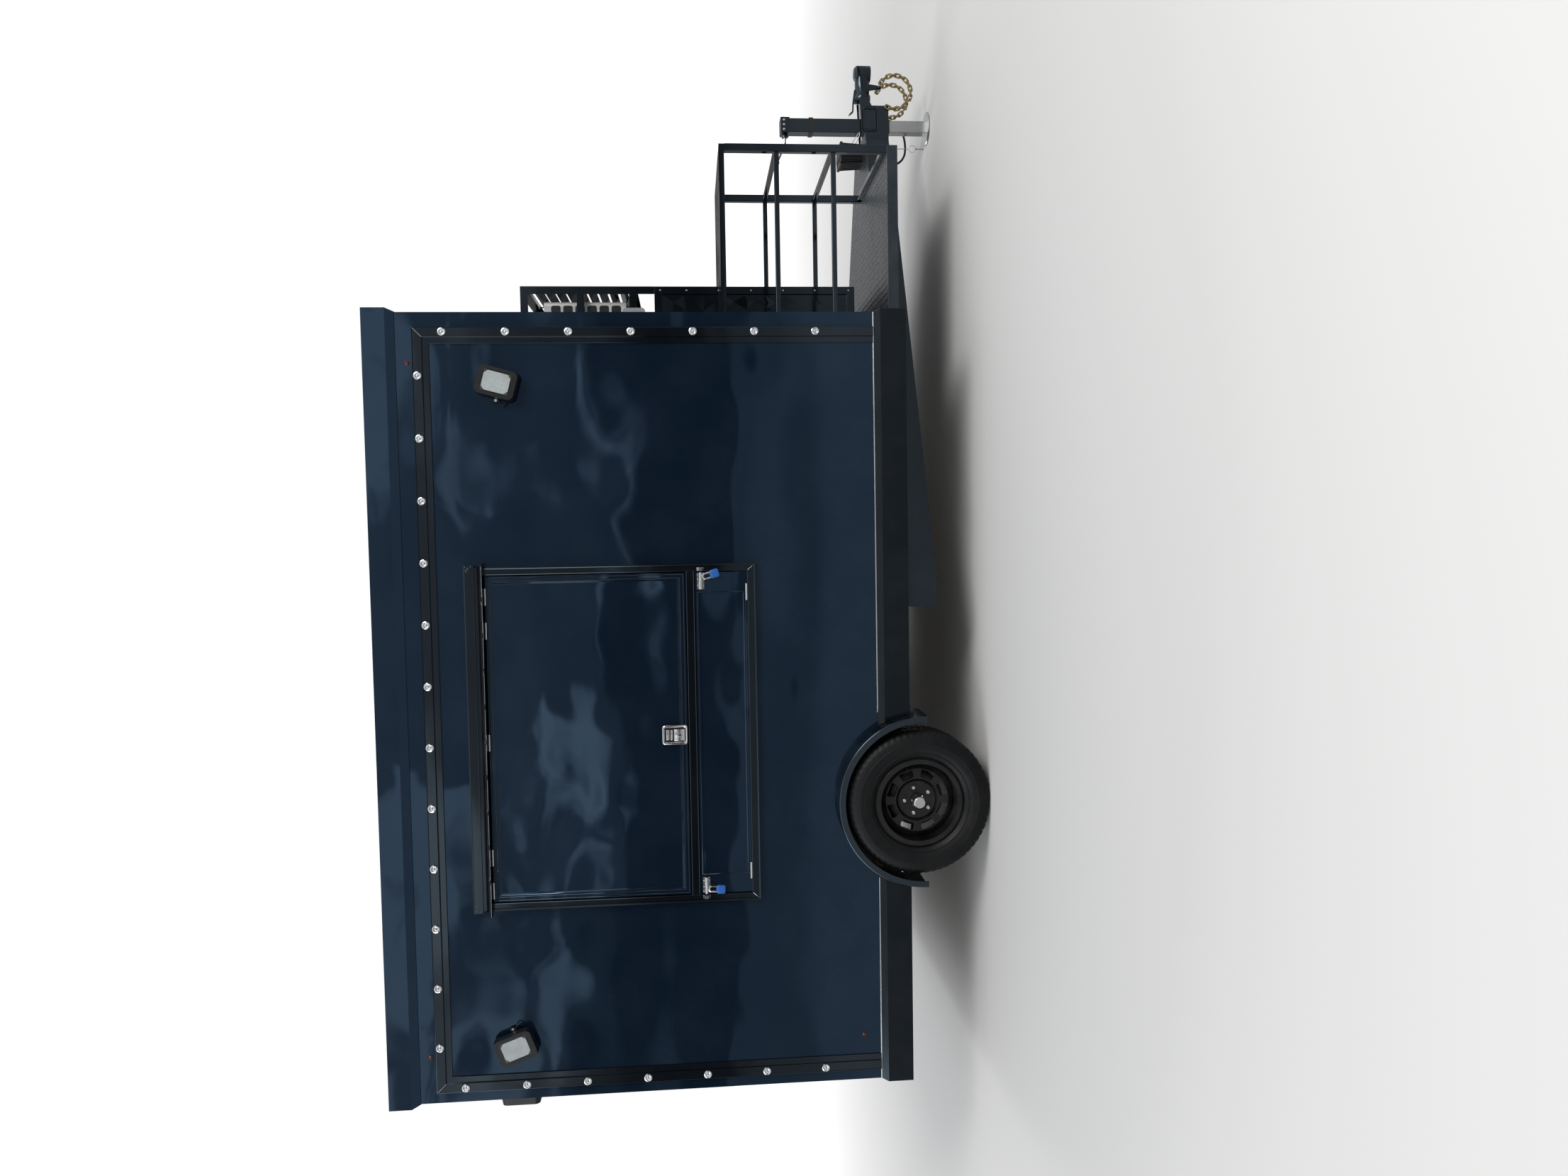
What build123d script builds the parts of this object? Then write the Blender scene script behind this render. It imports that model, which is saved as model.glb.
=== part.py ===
from build123d import *
import os
from math import cos, pi, radians, sin, sqrt, tan

os.makedirs("parts", exist_ok=True)

# Single-axle food trailer, in millimetres. X runs forward from the axle, Y to the left, Z up from the ground.
# The serving window is on the right-hand side, at negative Y.

# Box body
BOX_LENGTH = 3658.0
BOX_WIDTH = 2438.0
AXLE_TO_REAR = 1354.0       # axle centre to the outer face of the rear wall
WALL = 60.0
FLOOR_TOP = 524.0
FLOOR_THICK = 39.0
ROOF_TOP = 2847.0
ROOF_THICK = 70.0
FASCIA_OUT = 18.0           # how far the roof's fascia stands out from the walls
FASCIA_FACE = 105.0         # height of its upright face
FASCIA_BEVEL = 39.0         # height of the bevel under it
SKIRT_OUT = 14.0
SKIRT_DROP = 8.0            # skirt's foot, below the frame
SKIRT_FACE = 120.0
SKIRT_BEVEL = 30.0
SKIRT_SHEET = 3.0
FOLD = 2.0                  # height of a folded edge

# Main frame, under the floor
RAIL_H = 102.0
RAIL_W = 51.0
RAIL_INSET = 234.0          # middle of each inner rail, in from the wall's face
CROSS_MEMBERS = 6

# Tongue: two members that meet at the nose
TONGUE_H = 152.0
TONGUE_W = 51.0
TONGUE_ANGLE = 25.0         # each member's angle to the centreline
TONGUE_INSET = 20.0         # rear end of each member, in from the wall's face
NOSE_REACH = 1182.0         # front wall to where the members meet
NOSE_LENGTH = 239.0
NOSE_HALF = 60.0
NOSE_CUT = 46.0             # slope at the nose's lower front corner
NOSE_CUT_H = 95.0
NOSE_RISE = 12.0            # top of the nose's front, above the members
GUSSET = 6.0                # thickness of the plate on each side of the nose

# Wheels, axle and springs
TYRE_R = 343.0
TYRE_W = 215.0
WHEEL_INSET = 21.5          # centre plane of each tyre, in from the wall's face
RIM_R = 207.5
RIM_W = 176.0               # over the flanges
RIM_SEAT = 12.0             # flange's outer face to the bead seat
TYRE_BULGE = 76.0           # tread to the widest point
TYRE_SHOULDER = 14.0
TYRE_CROWN = 38.0           # width of the rounded edge of the tread
BARREL_R = 191.5
BARREL_SHEET = 8.0
DISC_OUT = 22.5             # disc's outer face, outboard of the wheel's centre plane
DISC_SHEET = 6.0
DISC_HOLE_R = 36.0
DISC_HUB_R = 88.0
DISC_STEP = 8.0             # how far the disc drops round its hub face
HAND_HOLES = 8
HAND_HOLE_IN = 108.0
HAND_HOLE_OUT = 145.0
HAND_HOLE_SHARE = 0.62      # width of a hand hole, as a share of its pitch
STUDS = 5
STUD_CIRCLE = 127.0
STUD_R = 6.0
NUT_R = 11.0
NUT_H = 20.0
DRUM_R = 128.0
DRUM_LENGTH = 80.0
DRUM_SHEET = 10.0
HUB_FLANGE = 10.0
HUB_BOSS_R = 45.0
CAP_R = 32.0
CAP_OUT = 77.0
CAP_STEP = 4.0
CAP_NECK = (0.4, 0.5)       # where the cap narrows, as shares of its length
SPINDLE_R = 22.0
AXLE_R = 30.0
BACKING_SHEET = 6.0
SPRING_PERCH = 7.0          # under the axle, above the leaves
SPRING_HALF = 330.0         # axle to each spring eye
SPRING_DROP = 45.0          # eyes above the middle of the leaves
SPRING_EYE_R = 14.0
LEAF_W = 45.0
LEAF_T = 8.0
LEAVES = 4
LEAF_STEP = 0.2             # how much shorter each leaf is, as a share of the first
HANGER = 6.0                # thickness of the hangers' cheeks
HANGER_FOOT = 26.0
PERCH_HALF = 40.0

# Clearances
RUN_GAP = 5.0               # round what turns or swings
SEAT_GAP = 0.3              # round what is seated
RUN_FIT = 0.05              # round the spindle, in the hub's bore
SLIDE_GAP = 0.5             # round the jack's leg, in its tube

# Fenders and the wells inside the cabin
FENDER_R = 408.0
FENDER_AHEAD = 8.0          # fender's centre, ahead of the axle
FENDER_LOW = 22.0           # and below it
FENDER_W = 228.0
FENDER_OUT = 95.0           # outboard of the wall
FENDER_SHEET = 3.0
FENDER_LIP = 31.0
FENDER_ROLL = 8.0
FENDER_SWEEP = 184.0
FENDER_TAB = 45.0           # bracket at the fender's front end, under the skirt
FENDER_TAB_W = 34.0
FENDER_TAB_DROP = 24.0
WELL_SHEET = 3.0
WELL_GAP = 20.0

# Light channel on both sides, with its lights
CHANNEL_W = 46.0
CHANNEL_OUT = 14.0
CHANNEL_LIP_W = 28.0
CHANNEL_LIP_OUT = 6.0
CHANNEL_INSET_REAR = 50.0
CHANNEL_INSET_FRONT = 68.0
CHANNEL_DROP = 75.0         # top of the channel, below the fascia's bevel
LIGHT_PITCH = 282.0
LIGHT_FIRST_DROP = 112.0
LIGHT_R = 19.0
LIGHT_TIP_R = 10.0
LIGHT_OUT = 14.0
ROW_LIGHTS = 12
COLUMN_LIGHTS = 7
MARKER_R = 10.0
MARKER_OUT = 8.0
MARKER_DROP = 50.0          # upper markers, below the fascia's bevel
MARKER_RISE = 87.0          # lower marker, above the floor
MARKER_REAR = 220.0         # markers, from the rear and front walls
MARKER_FRONT = 227.0

# Serving window: frame, hatch and shelf on the right-hand wall
WINDOW_FROM_REAR = 1706.0   # rear wall to the window's middle
FRAME_HALF = 795.0
SILL_RISE = 612.0           # top of the sill, above the floor
SILL_H = 39.0
WINDOW_DROP = 274.0         # top of the frame, below the fascia's bevel
FRAME_OUT = 25.0
FRAME_COLUMN = 35.0
FRAME_BEAD = 9.0            # raised bead along the frame's outer edge
FRAME_BEAD_OUT = 5.0
HEADER_H = 45.0
HEADER_EXTRA = 10.0
HEADER_OUT = 4.0
LEDGE_BELOW_HEADER = 13.0
LEDGE_H = 30.0
LEDGE_EDGE = 3.0
LEDGE_OUT = 40.0
LEDGE_EXTRA = 20.0
LEDGE_HOLES = 5
LEDGE_HOLE_R = 9.0
SHELF_OPENING = 247.0       # sill to transom
TRANSOM_H = 38.0
HATCH_THICK = 45.0
HATCH_BORDER = 28.0
HATCH_RECESS = 8.0
SHELF_THICK = 20.0
SHELF_BORDER = 18.0
SHELF_RECESS = 4.0
HINGE_R = 5.0
HINGE_LENGTH = 80.0
HINGE_LEAF = 2.0
LATCH_W = 92.0
LATCH_H = 117.0
LATCH_RIM = 14.0
LATCH_OUT = 5.0
PADDLE_W = 54.0
PADDLE_H = 80.0
PADDLE_T = 6.0
BOLT_R = 7.0
BOLT_LENGTH = 78.0
BOLT_PLATE_H = 34.0
BOLT_DROP = 25.0            # bolt's axis, below the shelf's top edge
BOLT_PLATE = 3.0
BOLT_STRAPS = (0.63, 0.9)   # middles of the straps, as shares of the bolt's length
KEEPER_W = 17.0
HINGE_STRAP = 30.0
HATCH_HINGES = (0.035, 0.138, 0.493, 0.835, 0.938)   # middles of the knuckles, as shares of the width
SHELF_HINGES = (0.067, 0.938)
DOOR_HINGES = (0.12, 0.5, 0.88)
LOCK_W = 40.0
LOCK_H = 40.0
LOCK_T = 16.0
SHACKLE = 8.0
SHACKLE_H = 37.0

# Floodlights
FLOOD_W = 137.0
FLOOD_H = 188.0
FLOOD_T = 34.0
FLOOD_OFF = 26.0            # wall to the back of the housing
FLOOD_CORNER = 26.0
FLOOD_DROP = 450.0          # middle of each floodlight, below the fascia's bevel
LENS_W = 92.0
LENS_H = 124.0
LENS_T = 4.0
FLOOD_FINS = 5
FLOOD_FIN = 4.0
FLOOD_FIN_PITCH = 20.0
FLOOD_FIN_H = 14.0
FLOOD_FOOT = 32.0
FLOOD_TAPER = 0.94          # front of the housing, as a share of its back
REAR_FLOOD_IN = 119.0       # rear floodlight, in from the right-hand wall's face

# Porch, cage and the rack on the front wall
PLATE = 3.0
PORCH_LENGTH = 889.0
PORCH_RIGHT = 850.0         # right-hand edge of the porch, from the centreline
PORCH_BEAM = 50.0
DECK_OVERHANG = 122.0       # deck beyond each tongue member
POST = 38.0
TUBE_CORNER = 3.0           # rounding of every square tube
CAGE_RAIL = 24.0
CAGE_LEFT = 4.0             # centre of the left-hand posts, from the centreline
CAGE_HEIGHT = 830.0         # above the deck
CAGE_MID = (266.0, 549.0)   # middle rails, above the deck
LID_SHEET = 3.0
RACK_DEPTH = 292.0
RACK_RIGHT = -400.0
RACK_LEFT = 440.0
RACK_HEIGHT = 1875.0        # above the deck
RACK_MID_DROP = 293.0       # middle bar, below the rack's top
RACK_SHELF_DROP = 568.0     # shelf, below the rack's top
RACK_ANGLE = 40.0
RACK_SHEET = 4.0
CABINET_RISE = 104.0        # cabinet's foot, above the deck
CABINET_HEIGHT = 1070.0
CABINET_PANEL = 4.0         # how deep the panels sit inside the cabinet's edges
AC_DEPTH = 205.0
AC_HEIGHT = 431.0
AC_WIDTH = 760.0
AC_STAND = 20.0
AC_OFF = 15.0               # front wall to the unit's back
AC_CORNER = 22.0
FAN_R = 175.0
FAN_SHIFT = 110.0           # fan's axis, right of the unit's middle
FAN_DEEP = 18.0
FAN_HUB_R = 45.0
FAN_RINGS = 4
FAN_WIRE = 5.0
FAN_SPOKES = 6
VENTS = 6
VENT_PITCH = 62.0
VENT_H = 44.0
VENT_W = 70.0
GUARD_SLATS = 9
GUARD_PITCH = 56.0
SLAT_H = 37.0
SLAT_DEEP = 24.0
POWER_BOX_IN = 269.0        # power inlet, in from the right-hand wall's face
POWER_BOX_RISE = 1036.0     # its foot, above the floor
POWER_BOX_W = 124.0
POWER_BOX_H = 162.0
POWER_BOX_BACK = 16.0
POWER_LID_W = 96.0
POWER_LID_H = 104.0
POWER_LID_T = 46.0

# Jack and coupler
JACK_AHEAD = 88.0           # jack's axis, ahead of where the members meet
JACK_TUBE = 76.0
JACK_WALL = 5.0
JACK_ABOVE = 460.0          # top of the tube, above the tongue
JACK_BELOW = 9.0            # foot of the tube, below the tongue
JACK_COLLAR = 52.0
JACK_COLLAR_T = 5.0
JACK_LEG_TOP = 240.0        # top of the leg, below the top of the tube
JACK_FOOT_R = 90.0
JACK_FOOT = 10.0
CRANK_R = 7.0
CRANK_REACH = 134.0
CRANK_RISE = 40.0
CRANK_SIDE = 30.0
GRIP_R = 13.0
GRIP_LENGTH = 110.0
COUPLER_R = 41.0
COUPLER_DROP = 12.0         # coupler's axis, below the top of the members
COUPLER_LENGTH = 95.0       # straight tube, ahead of the nose
BALL_AHEAD = 387.0          # ball's centre, ahead of where the members meet
BALL_R = 30.0
SOCKET_R = 45.0
SOCKET_LIP = 4.0            # socket's foot, below the coupler's tube
SOCKET_DEPTH = 58.0
SOCKET_CHAMFER = 14.0
LEVER_W = 28.0
# Side view of the latch lever from the nose's top front edge, in lever widths: x, z
LEVER_POINTS = ((-0.5, 0.0), (2.1, 0.1), (2.1, 0.75), (-0.4, 1.1), (-2.1, 1.2), (-2.8, 1.9), (-2.9, 1.8),
                (-2.3, 1.0), (-0.5, 0.9))
BATTERY_BEHIND = 136.0      # rear of the battery box, behind where the members meet
BATTERY_L = 123.0
BATTERY_W = 172.0
BATTERY_H = 112.0
BATTERY_LID = 14.0
BATTERY_TAPER = 12.0

# Chains, in flat links that stand crosswise in turn
LINK_WIRE = 7.0
LINK_HOLE = 27.0            # inner length of a link
LINK_W = 26.0
LINK_SLACK = 1.0
CHAIN_LINKS = 17
CHAIN_Y = 67.0
CHAIN_PIN_R = 4.5
CHAIN_PIN_HALF = 78.0
CHAIN_TAB = 8.0
CHAIN_SWEEP = 273.0         # how far the hanging arc turns, in degrees
CHAIN_LEAN = 14.0           # slope of the line between its ends, in degrees
CHAIN_BACK = 52.0           # first pin, behind the nose's front
CHAIN_RISE = 16.0           # and above the members' underside

# Cable to the towing vehicle, with its plug parked in a holder on the jack
CABLE_R = 6.0
CABLE_SHARE = 0.45          # how much of the shorter run each bend takes
CABLE_PLACES = (
    (3392.0, 76.0, 225.0), (3392.0, 76.0, 180.0), (3416.0, 88.0, 134.0), (3460.0, 103.0, 107.0),
    (3520.0, 110.0, 103.0), (3582.0, 112.0, 114.0), (3634.0, 111.0, 148.0), (3662.0, 108.0, 206.0),
    (3664.0, 103.0, 282.0), (3650.0, 95.0, 372.0), (3626.0, 85.0, 462.0), (3602.0, 76.0, 542.0),
    (3602.0, 76.0, 604.0))
GLAND_R = 13.0
PLUG_R = 22.0
PLUG_LENGTH = 62.0
PLUG_NECK_R = 10.0
PLUG_NECK = 24.0            # tapered strain relief at its foot
PLUG_STEP = 3.0             # shoulder that stops it in the holder
CUP_LENGTH = 40.0
CUP_WALL = 3.0
CLAMP_H = 24.0
CLAMP_SHEET = 4.0

# Rear door
DOOR_W = 864.0
DOOR_SILL = 45.0            # above the floor
DOOR_DROP = 274.0           # doorway's top, below the roof's fascia
DOOR_PROUD = 12.0
DOOR_FRAME = 40.0
DOOR_SHORT = 15.0           # door's inner face, short of the wall's inner face
DOOR_PANEL_IN = 90.0
DOOR_PANEL_UP = 110.0
DOOR_RECESS = 4.0
HANDLE_W = 76.0
HANDLE_H = 120.0
HANDLE_T = 6.0
HANDLE_WELL_R = 25.0
HANDLE_PADDLE_W = 38.0
HANDLE_PADDLE_H = 84.0

# Rear lamps and number plate
LAMP_IN = 219.0             # lamp's middle, in from the wall's face
LAMP_RISE = 96.0            # lamp's foot, above the floor
LAMP_W = 120.0
LAMP_H = 56.0
LAMP_T = 18.0
BRACKET_W = 304.0
BRACKET_H = 152.0
BRACKET_T = 8.0
BRACKET_IN = 250.0          # bracket's edge, from the doorway
BRACKET_RISE = 176.0        # bracket's foot, above the floor
PLATE_HOLES = 178.0         # between the two holes for a number plate
PLATE_HOLE_R = 3.5

# Places worked out from the sizes above
REAR_X = -AXLE_TO_REAR
FRONT_X = REAR_X + BOX_LENGTH
SIDE_Y = BOX_WIDTH / 2
WHEEL_Y = SIDE_Y - WHEEL_INSET
RAIL_Y = SIDE_Y - RAIL_INSET
FRAME_Z = FLOOR_TOP - FLOOR_THICK
TONGUE_Z = FRAME_Z - RAIL_H
SKIRT_BOTTOM = TONGUE_Z - SKIRT_DROP
WALL_TOP = ROOF_TOP - ROOF_THICK
BEVEL_TOP = ROOF_TOP - FASCIA_FACE
CAP_BASE = BEVEL_TOP - FASCIA_BEVEL
DECK_Z = TONGUE_Z + PLATE
NOSE_X = FRONT_X + NOSE_REACH
JACK_X = NOSE_X + JACK_AHEAD
BALL_X = NOSE_X + BALL_AHEAD
COUPLER_Z = TONGUE_Z - COUPLER_DROP
SPIN_Z = TYRE_R
FENDER_Z = SPIN_Z - FENDER_LOW
FRAME_CENTRE_X = REAR_X + WINDOW_FROM_REAR
FRAME_TOP = CAP_BASE - WINDOW_DROP
LEDGE_TOP = FRAME_TOP - HEADER_H - LEDGE_BELOW_HEADER
SILL_TOP = FLOOR_TOP + SILL_RISE
FRAME_BOTTOM = SILL_TOP - SILL_H
TRANSOM_BOTTOM = SILL_TOP + SHELF_OPENING
TRANSOM_TOP = TRANSOM_BOTTOM + TRANSOM_H
CAGE_TOP = DECK_Z + CAGE_HEIGHT
RACK_TOP = DECK_Z + RACK_HEIGHT
RACK_SHELF = RACK_TOP - RACK_SHELF_DROP
CABINET_BOTTOM = DECK_Z + CABINET_RISE
CABINET_TOP = CABINET_BOTTOM + CABINET_HEIGHT
JACK_TOP = TONGUE_Z + JACK_ABOVE
JACK_BOTTOM = TONGUE_Z - TONGUE_H - JACK_BELOW
PORCH_END = FRONT_X + PORCH_LENGTH
# The right-hand wall's floodlights: middle x, turn in degrees
FLOODS = ((REAR_X + 265.0, -20.0), (FRONT_X - 323.0, 15.0))
ORIGIN_X = (BALL_X + SOCKET_R + REAR_X - FLOOD_OFF - FLOOD_T) / 2
SIDES = {"right": -1, "left": 1}


def slab(x, y, z):
    """A block between the low and high ends given for each axis."""
    middle = Pos((x[0] + x[1]) / 2, (y[0] + y[1]) / 2, (z[0] + z[1]) / 2)
    return middle * Box(abs(x[1] - x[0]), abs(y[1] - y[0]), abs(z[1] - z[0]))


def rod_x(radius, x, y, z):
    """A round bar along X between x[0] and x[1]."""
    return Pos((x[0] + x[1]) / 2, y, z) * Rot(0, 90, 0) * Cylinder(radius, x[1] - x[0])


def rod_y(radius, x, y, z):
    """A round bar along Y between y[0] and y[1]."""
    return Pos(x, (y[0] + y[1]) / 2, z) * Rot(90, 0, 0) * Cylinder(radius, y[1] - y[0])


def rod_z(radius, x, y, z):
    """A round bar along Z between z[0] and z[1]."""
    return Pos(x, y, (z[0] + z[1]) / 2) * Cylinder(radius, z[1] - z[0])


def plan(points, z):
    """A flat outline of (x, y) points, raised between two heights."""
    face = make_face(Polyline(*points, close=True))
    return Pos(0, 0, z[0]) * extrude(face, z[1] - z[0], dir=(0, 0, 1))


def profile_y(points, y):
    """A side view of (x, z) points, given its width between two y values."""
    face = make_face(Plane.XZ * Polyline(*points, close=True))
    return Pos(0, y[0], 0) * extrude(face, y[1] - y[0], dir=(0, 1, 0))


def profile_x(points, x):
    """An end view of (y, z) points, drawn out between two x values."""
    face = make_face(Plane.YZ * Polyline(*points, close=True))
    return Pos(x[0], 0, 0) * extrude(face, x[1] - x[0], dir=(1, 0, 0))


def tube_x(x, y, z):
    """A square tube along X between its ends, round its middle line."""
    face = Plane.YZ * Pos(y, z) * RectangleRounded(CAGE_RAIL, CAGE_RAIL, TUBE_CORNER)
    return Pos(x[0], 0, 0) * extrude(face, x[1] - x[0])


def tube_y(x, y, z):
    """A square tube along Y between its ends, round its middle line."""
    face = Plane.XZ * Pos(x, z) * RectangleRounded(CAGE_RAIL, CAGE_RAIL, TUBE_CORNER)
    return Pos(0, y[1], 0) * extrude(face, y[1] - y[0])


def post(x, y, z, size=POST):
    """An upright square tube with rounded corners."""
    return Pos(x, y, z[0]) * extrude(RectangleRounded(size, size, TUBE_CORNER), z[1] - z[0])


def tray(x, z, y, slope):
    """A hollow pressed into a face towards -Y: it narrows by slope from y[0] inward to y[1]."""
    middle = Plane.XZ * Pos((x[0] + x[1]) / 2, (z[0] + z[1]) / 2)
    width, height = x[1] - x[0], z[1] - z[0]
    mouth = Pos(0, y[0], 0) * (middle * Rectangle(width, height))
    floor = Pos(0, y[1], 0) * (middle * Rectangle(width - 2 * slope, height - 2 * slope))
    return loft([mouth, floor])


def turned_y(points):
    """A round piece about the Y axis from (radius, y) points."""
    return revolve(make_face(Polyline(*points, close=True)), Axis.Y)


def mirrored(shape):
    """The same shape on the other side of the centreline."""
    return mirror(shape, about=Plane.XZ)


def joined(pieces):
    """One shape from a list of pieces that touch."""
    first, *rest = pieces
    return first.fuse(*rest) if rest else first


def group(pieces):
    """Separate solids of one node."""
    return Compound(list(pieces))


def save(shape, node):
    """Write one node, with the origin under the middle of the whole trailer."""
    export_step(Pos(-ORIGIN_X, 0, 0) * shape, f"parts/{node}.step")


def flanked(side, near, far):
    """Two distances from the centreline as Y ends on one side, in order."""
    return sorted((side * near, side * far))


def body_block(z, out=0.0):
    """A block of the box's outline between two heights."""
    return slab((REAR_X - out, FRONT_X + out), (-SIDE_Y - out, SIDE_Y + out), z)


def bevel_block(out_low, out_high, z):
    """The box's outline, moved outward by a different amount at each height."""
    low = Pos(0, 0, z[0]) * Rectangle(BOX_LENGTH + 2 * out_low, BOX_WIDTH + 2 * out_low)
    high = Pos(0, 0, z[1]) * Rectangle(BOX_LENGTH + 2 * out_high, BOX_WIDTH + 2 * out_high)
    return Pos((REAR_X + FRONT_X) / 2, 0, 0) * loft([low, high])


def arch(side, gap=0.0):
    """The round space that the fender fills, cut through what it passes."""
    inner = SIDE_Y + FENDER_OUT - FENDER_W - gap
    ends = flanked(side, inner, SIDE_Y + FENDER_OUT)
    return rod_y(FENDER_R + gap, FENDER_AHEAD, ends, FENDER_Z)


# Chassis
def frame_rails():
    """Two inner rails, and edge rails that stop at the wheel arches."""
    z = (TONGUE_Z, FRAME_Z)
    pieces = []
    for side in SIDES.values():
        pieces.append(slab((REAR_X, FRONT_X), flanked(side, RAIL_Y - RAIL_W / 2, RAIL_Y + RAIL_W / 2), z))
        edge = slab((REAR_X, FRONT_X), flanked(side, SIDE_Y - RAIL_W, SIDE_Y), z)
        pieces += (edge - arch(side, SEAT_GAP)).solids()
    return pieces


def cross_members():
    """Cross members between the inner rails, each with an outrigger to the edge rails."""
    z = (TONGUE_Z, FRAME_Z)
    step = (BOX_LENGTH - RAIL_W) / (CROSS_MEMBERS - 1)
    inner = RAIL_Y - RAIL_W / 2
    pieces = []
    for i in range(CROSS_MEMBERS):
        x = (REAR_X + i * step, REAR_X + i * step + RAIL_W)
        pieces.append(slab(x, (-inner, inner), z))
        for side in SIDES.values():
            outrigger = slab(x, flanked(side, inner + RAIL_W, SIDE_Y - RAIL_W), z)
            pieces += (outrigger - arch(side, SEAT_GAP)).solids()
    return pieces


def tongue_line(y):
    """X of a tongue member's outer face at a distance y from the centreline."""
    return NOSE_X - (y - NOSE_HALF) / tan(radians(TONGUE_ANGLE))


def tongue_frame():
    """The two members, and the nose that holds the jack between its side plates."""
    across = TONGUE_W / sin(radians(TONGUE_ANGLE))
    rear_y = SIDE_Y - TONGUE_INSET
    rear_x = tongue_line(rear_y)
    inner_y = NOSE_HALF - TONGUE_W / cos(radians(TONGUE_ANGLE))
    low = TONGUE_Z - TONGUE_H
    member = plan([(rear_x, rear_y), (NOSE_X, NOSE_HALF), (NOSE_X, inner_y), (rear_x - across, rear_y)],
                  (low, TONGUE_Z))
    end = NOSE_X + NOSE_LENGTH
    cut = end - NOSE_CUT
    step_up = low + NOSE_CUT_H
    cheek = [(NOSE_X, low), (cut, low), (cut, step_up), (end, step_up + NOSE_CUT / 2),
             (end, TONGUE_Z + NOSE_RISE), (NOSE_X, TONGUE_Z)]
    core = [(NOSE_X, low + GUSSET), (cut - GUSSET, low + GUSSET), (cut - GUSSET, step_up + GUSSET),
            (end - GUSSET, step_up + NOSE_CUT / 2 + GUSSET), (end - GUSSET, TONGUE_Z + NOSE_RISE - GUSSET),
            (NOSE_X, TONGUE_Z - GUSSET)]
    nose = profile_y(core, (-NOSE_HALF, NOSE_HALF))
    plates = [profile_y(cheek, flanked(side, NOSE_HALF - GUSSET, NOSE_HALF)) for side in SIDES.values()]
    hole = JACK_TUBE + 2 * SEAT_GAP
    through = post(JACK_X, 0, (low - 1, TONGUE_Z + NOSE_RISE + 1), hole)
    return joined([member, mirrored(member), nose, chain_pins()[0]] + plates) - through


def axle_beam():
    """Straight round axle with spring perches, backing plates and spindles."""
    flange = WHEEL_Y + DISC_OUT - DISC_SHEET - HUB_FLANGE
    plate = flange - DRUM_LENGTH - RUN_GAP
    pieces = [rod_y(AXLE_R, 0, (-plate + BACKING_SHEET, plate - BACKING_SHEET), SPIN_Z)]
    radius, top = leaf_curve()
    for side in SIDES.values():
        pieces.append(rod_y(DRUM_R + BACKING_SHEET, 0, flanked(side, plate - BACKING_SHEET, plate), SPIN_Z))
        pieces.append(rod_y(SPINDLE_R, 0, flanked(side, plate, flange - RUN_GAP), SPIN_Z))
        y = flanked(side, RAIL_Y - LEAF_W / 2, RAIL_Y + LEAF_W / 2)
        perch = slab((-PERCH_HALF, PERCH_HALF), y, (top - LEAF_T, SPIN_Z))
        pieces.append(perch & rod_y(radius - SEAT_GAP, 0, y, top + radius))
    return joined(pieces)


def leaf_curve():
    """Radius of the main leaf's upper face, and its height at the axle."""
    radius = (SPRING_HALF ** 2 + SPRING_DROP ** 2) / (2 * SPRING_DROP)
    return radius, SPIN_Z - AXLE_R - SPRING_PERCH


def leaf_spring(side):
    """Leaves that curve up to an eye at each end, on hangers under the rail."""
    radius, top = leaf_curve()
    y = flanked(side, RAIL_Y - LEAF_W / 2, RAIL_Y + LEAF_W / 2)
    pieces = []
    for i in range(LEAVES):
        half = SPRING_HALF * (1 - LEAF_STEP * i)
        upper = radius + i * LEAF_T
        leaf = rod_y(upper + LEAF_T, 0, y, top + radius) - rod_y(upper, 0, y, top + radius)
        pieces.append(leaf & slab((-half, half), y, (top - (i + 1) * LEAF_T, top + 2 * SPRING_DROP)))
    eye_z = top + SPRING_DROP
    foot_z = eye_z - SPRING_EYE_R
    hanger = [(-HANGER_FOOT, eye_z), (-SPRING_EYE_R, foot_z), (SPRING_EYE_R, foot_z),
              (HANGER_FOOT, eye_z), (HANGER_FOOT, TONGUE_Z), (-HANGER_FOOT, TONGUE_Z)]
    for end in (-SPRING_HALF, SPRING_HALF):
        pieces.append(rod_y(SPRING_EYE_R, end, y, eye_z))
        for cheek in ((y[0] - HANGER, y[0]), (y[1], y[1] + HANGER)):
            pieces.append(Pos(end, 0, 0) * profile_y(hanger, cheek))
    return joined(pieces)


def floor_deck():
    floor = body_block((FRAME_Z, FLOOR_TOP))
    for side in SIDES.values():
        floor -= arch(side, SEAT_GAP)
    return floor


# Body
def window_hole():
    """The opening that the hatch closes."""
    half = FRAME_HALF - FRAME_COLUMN
    return slab((FRAME_CENTRE_X - half, FRAME_CENTRE_X + half), (-SIDE_Y - 1, -SIDE_Y + WALL + 1),
                (TRANSOM_TOP, LEDGE_TOP - LEDGE_H))


def side_wall(side):
    wall = slab((REAR_X, FRONT_X), flanked(side, SIDE_Y - WALL, SIDE_Y), (FLOOR_TOP, WALL_TOP))
    wall -= arch(side, SEAT_GAP)
    return wall - window_hole() if side < 0 else wall


def front_wall():
    inner = SIDE_Y - WALL
    return slab((FRONT_X - WALL, FRONT_X), (-inner, inner), (FLOOR_TOP, WALL_TOP))


def door_span(gap=0.0):
    """The rear doorway from side to side and from sill to top, made smaller by a gap."""
    return (-DOOR_W / 2 + gap, DOOR_W / 2 - gap), (FLOOR_TOP + DOOR_SILL + gap, CAP_BASE - DOOR_DROP - gap)


def rear_wall():
    inner = SIDE_Y - WALL
    wall = slab((REAR_X, REAR_X + WALL), (-inner, inner), (FLOOR_TOP, WALL_TOP))
    y, z = door_span()
    return wall - slab((REAR_X - 1, REAR_X + WALL + 1), y, z)


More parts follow.
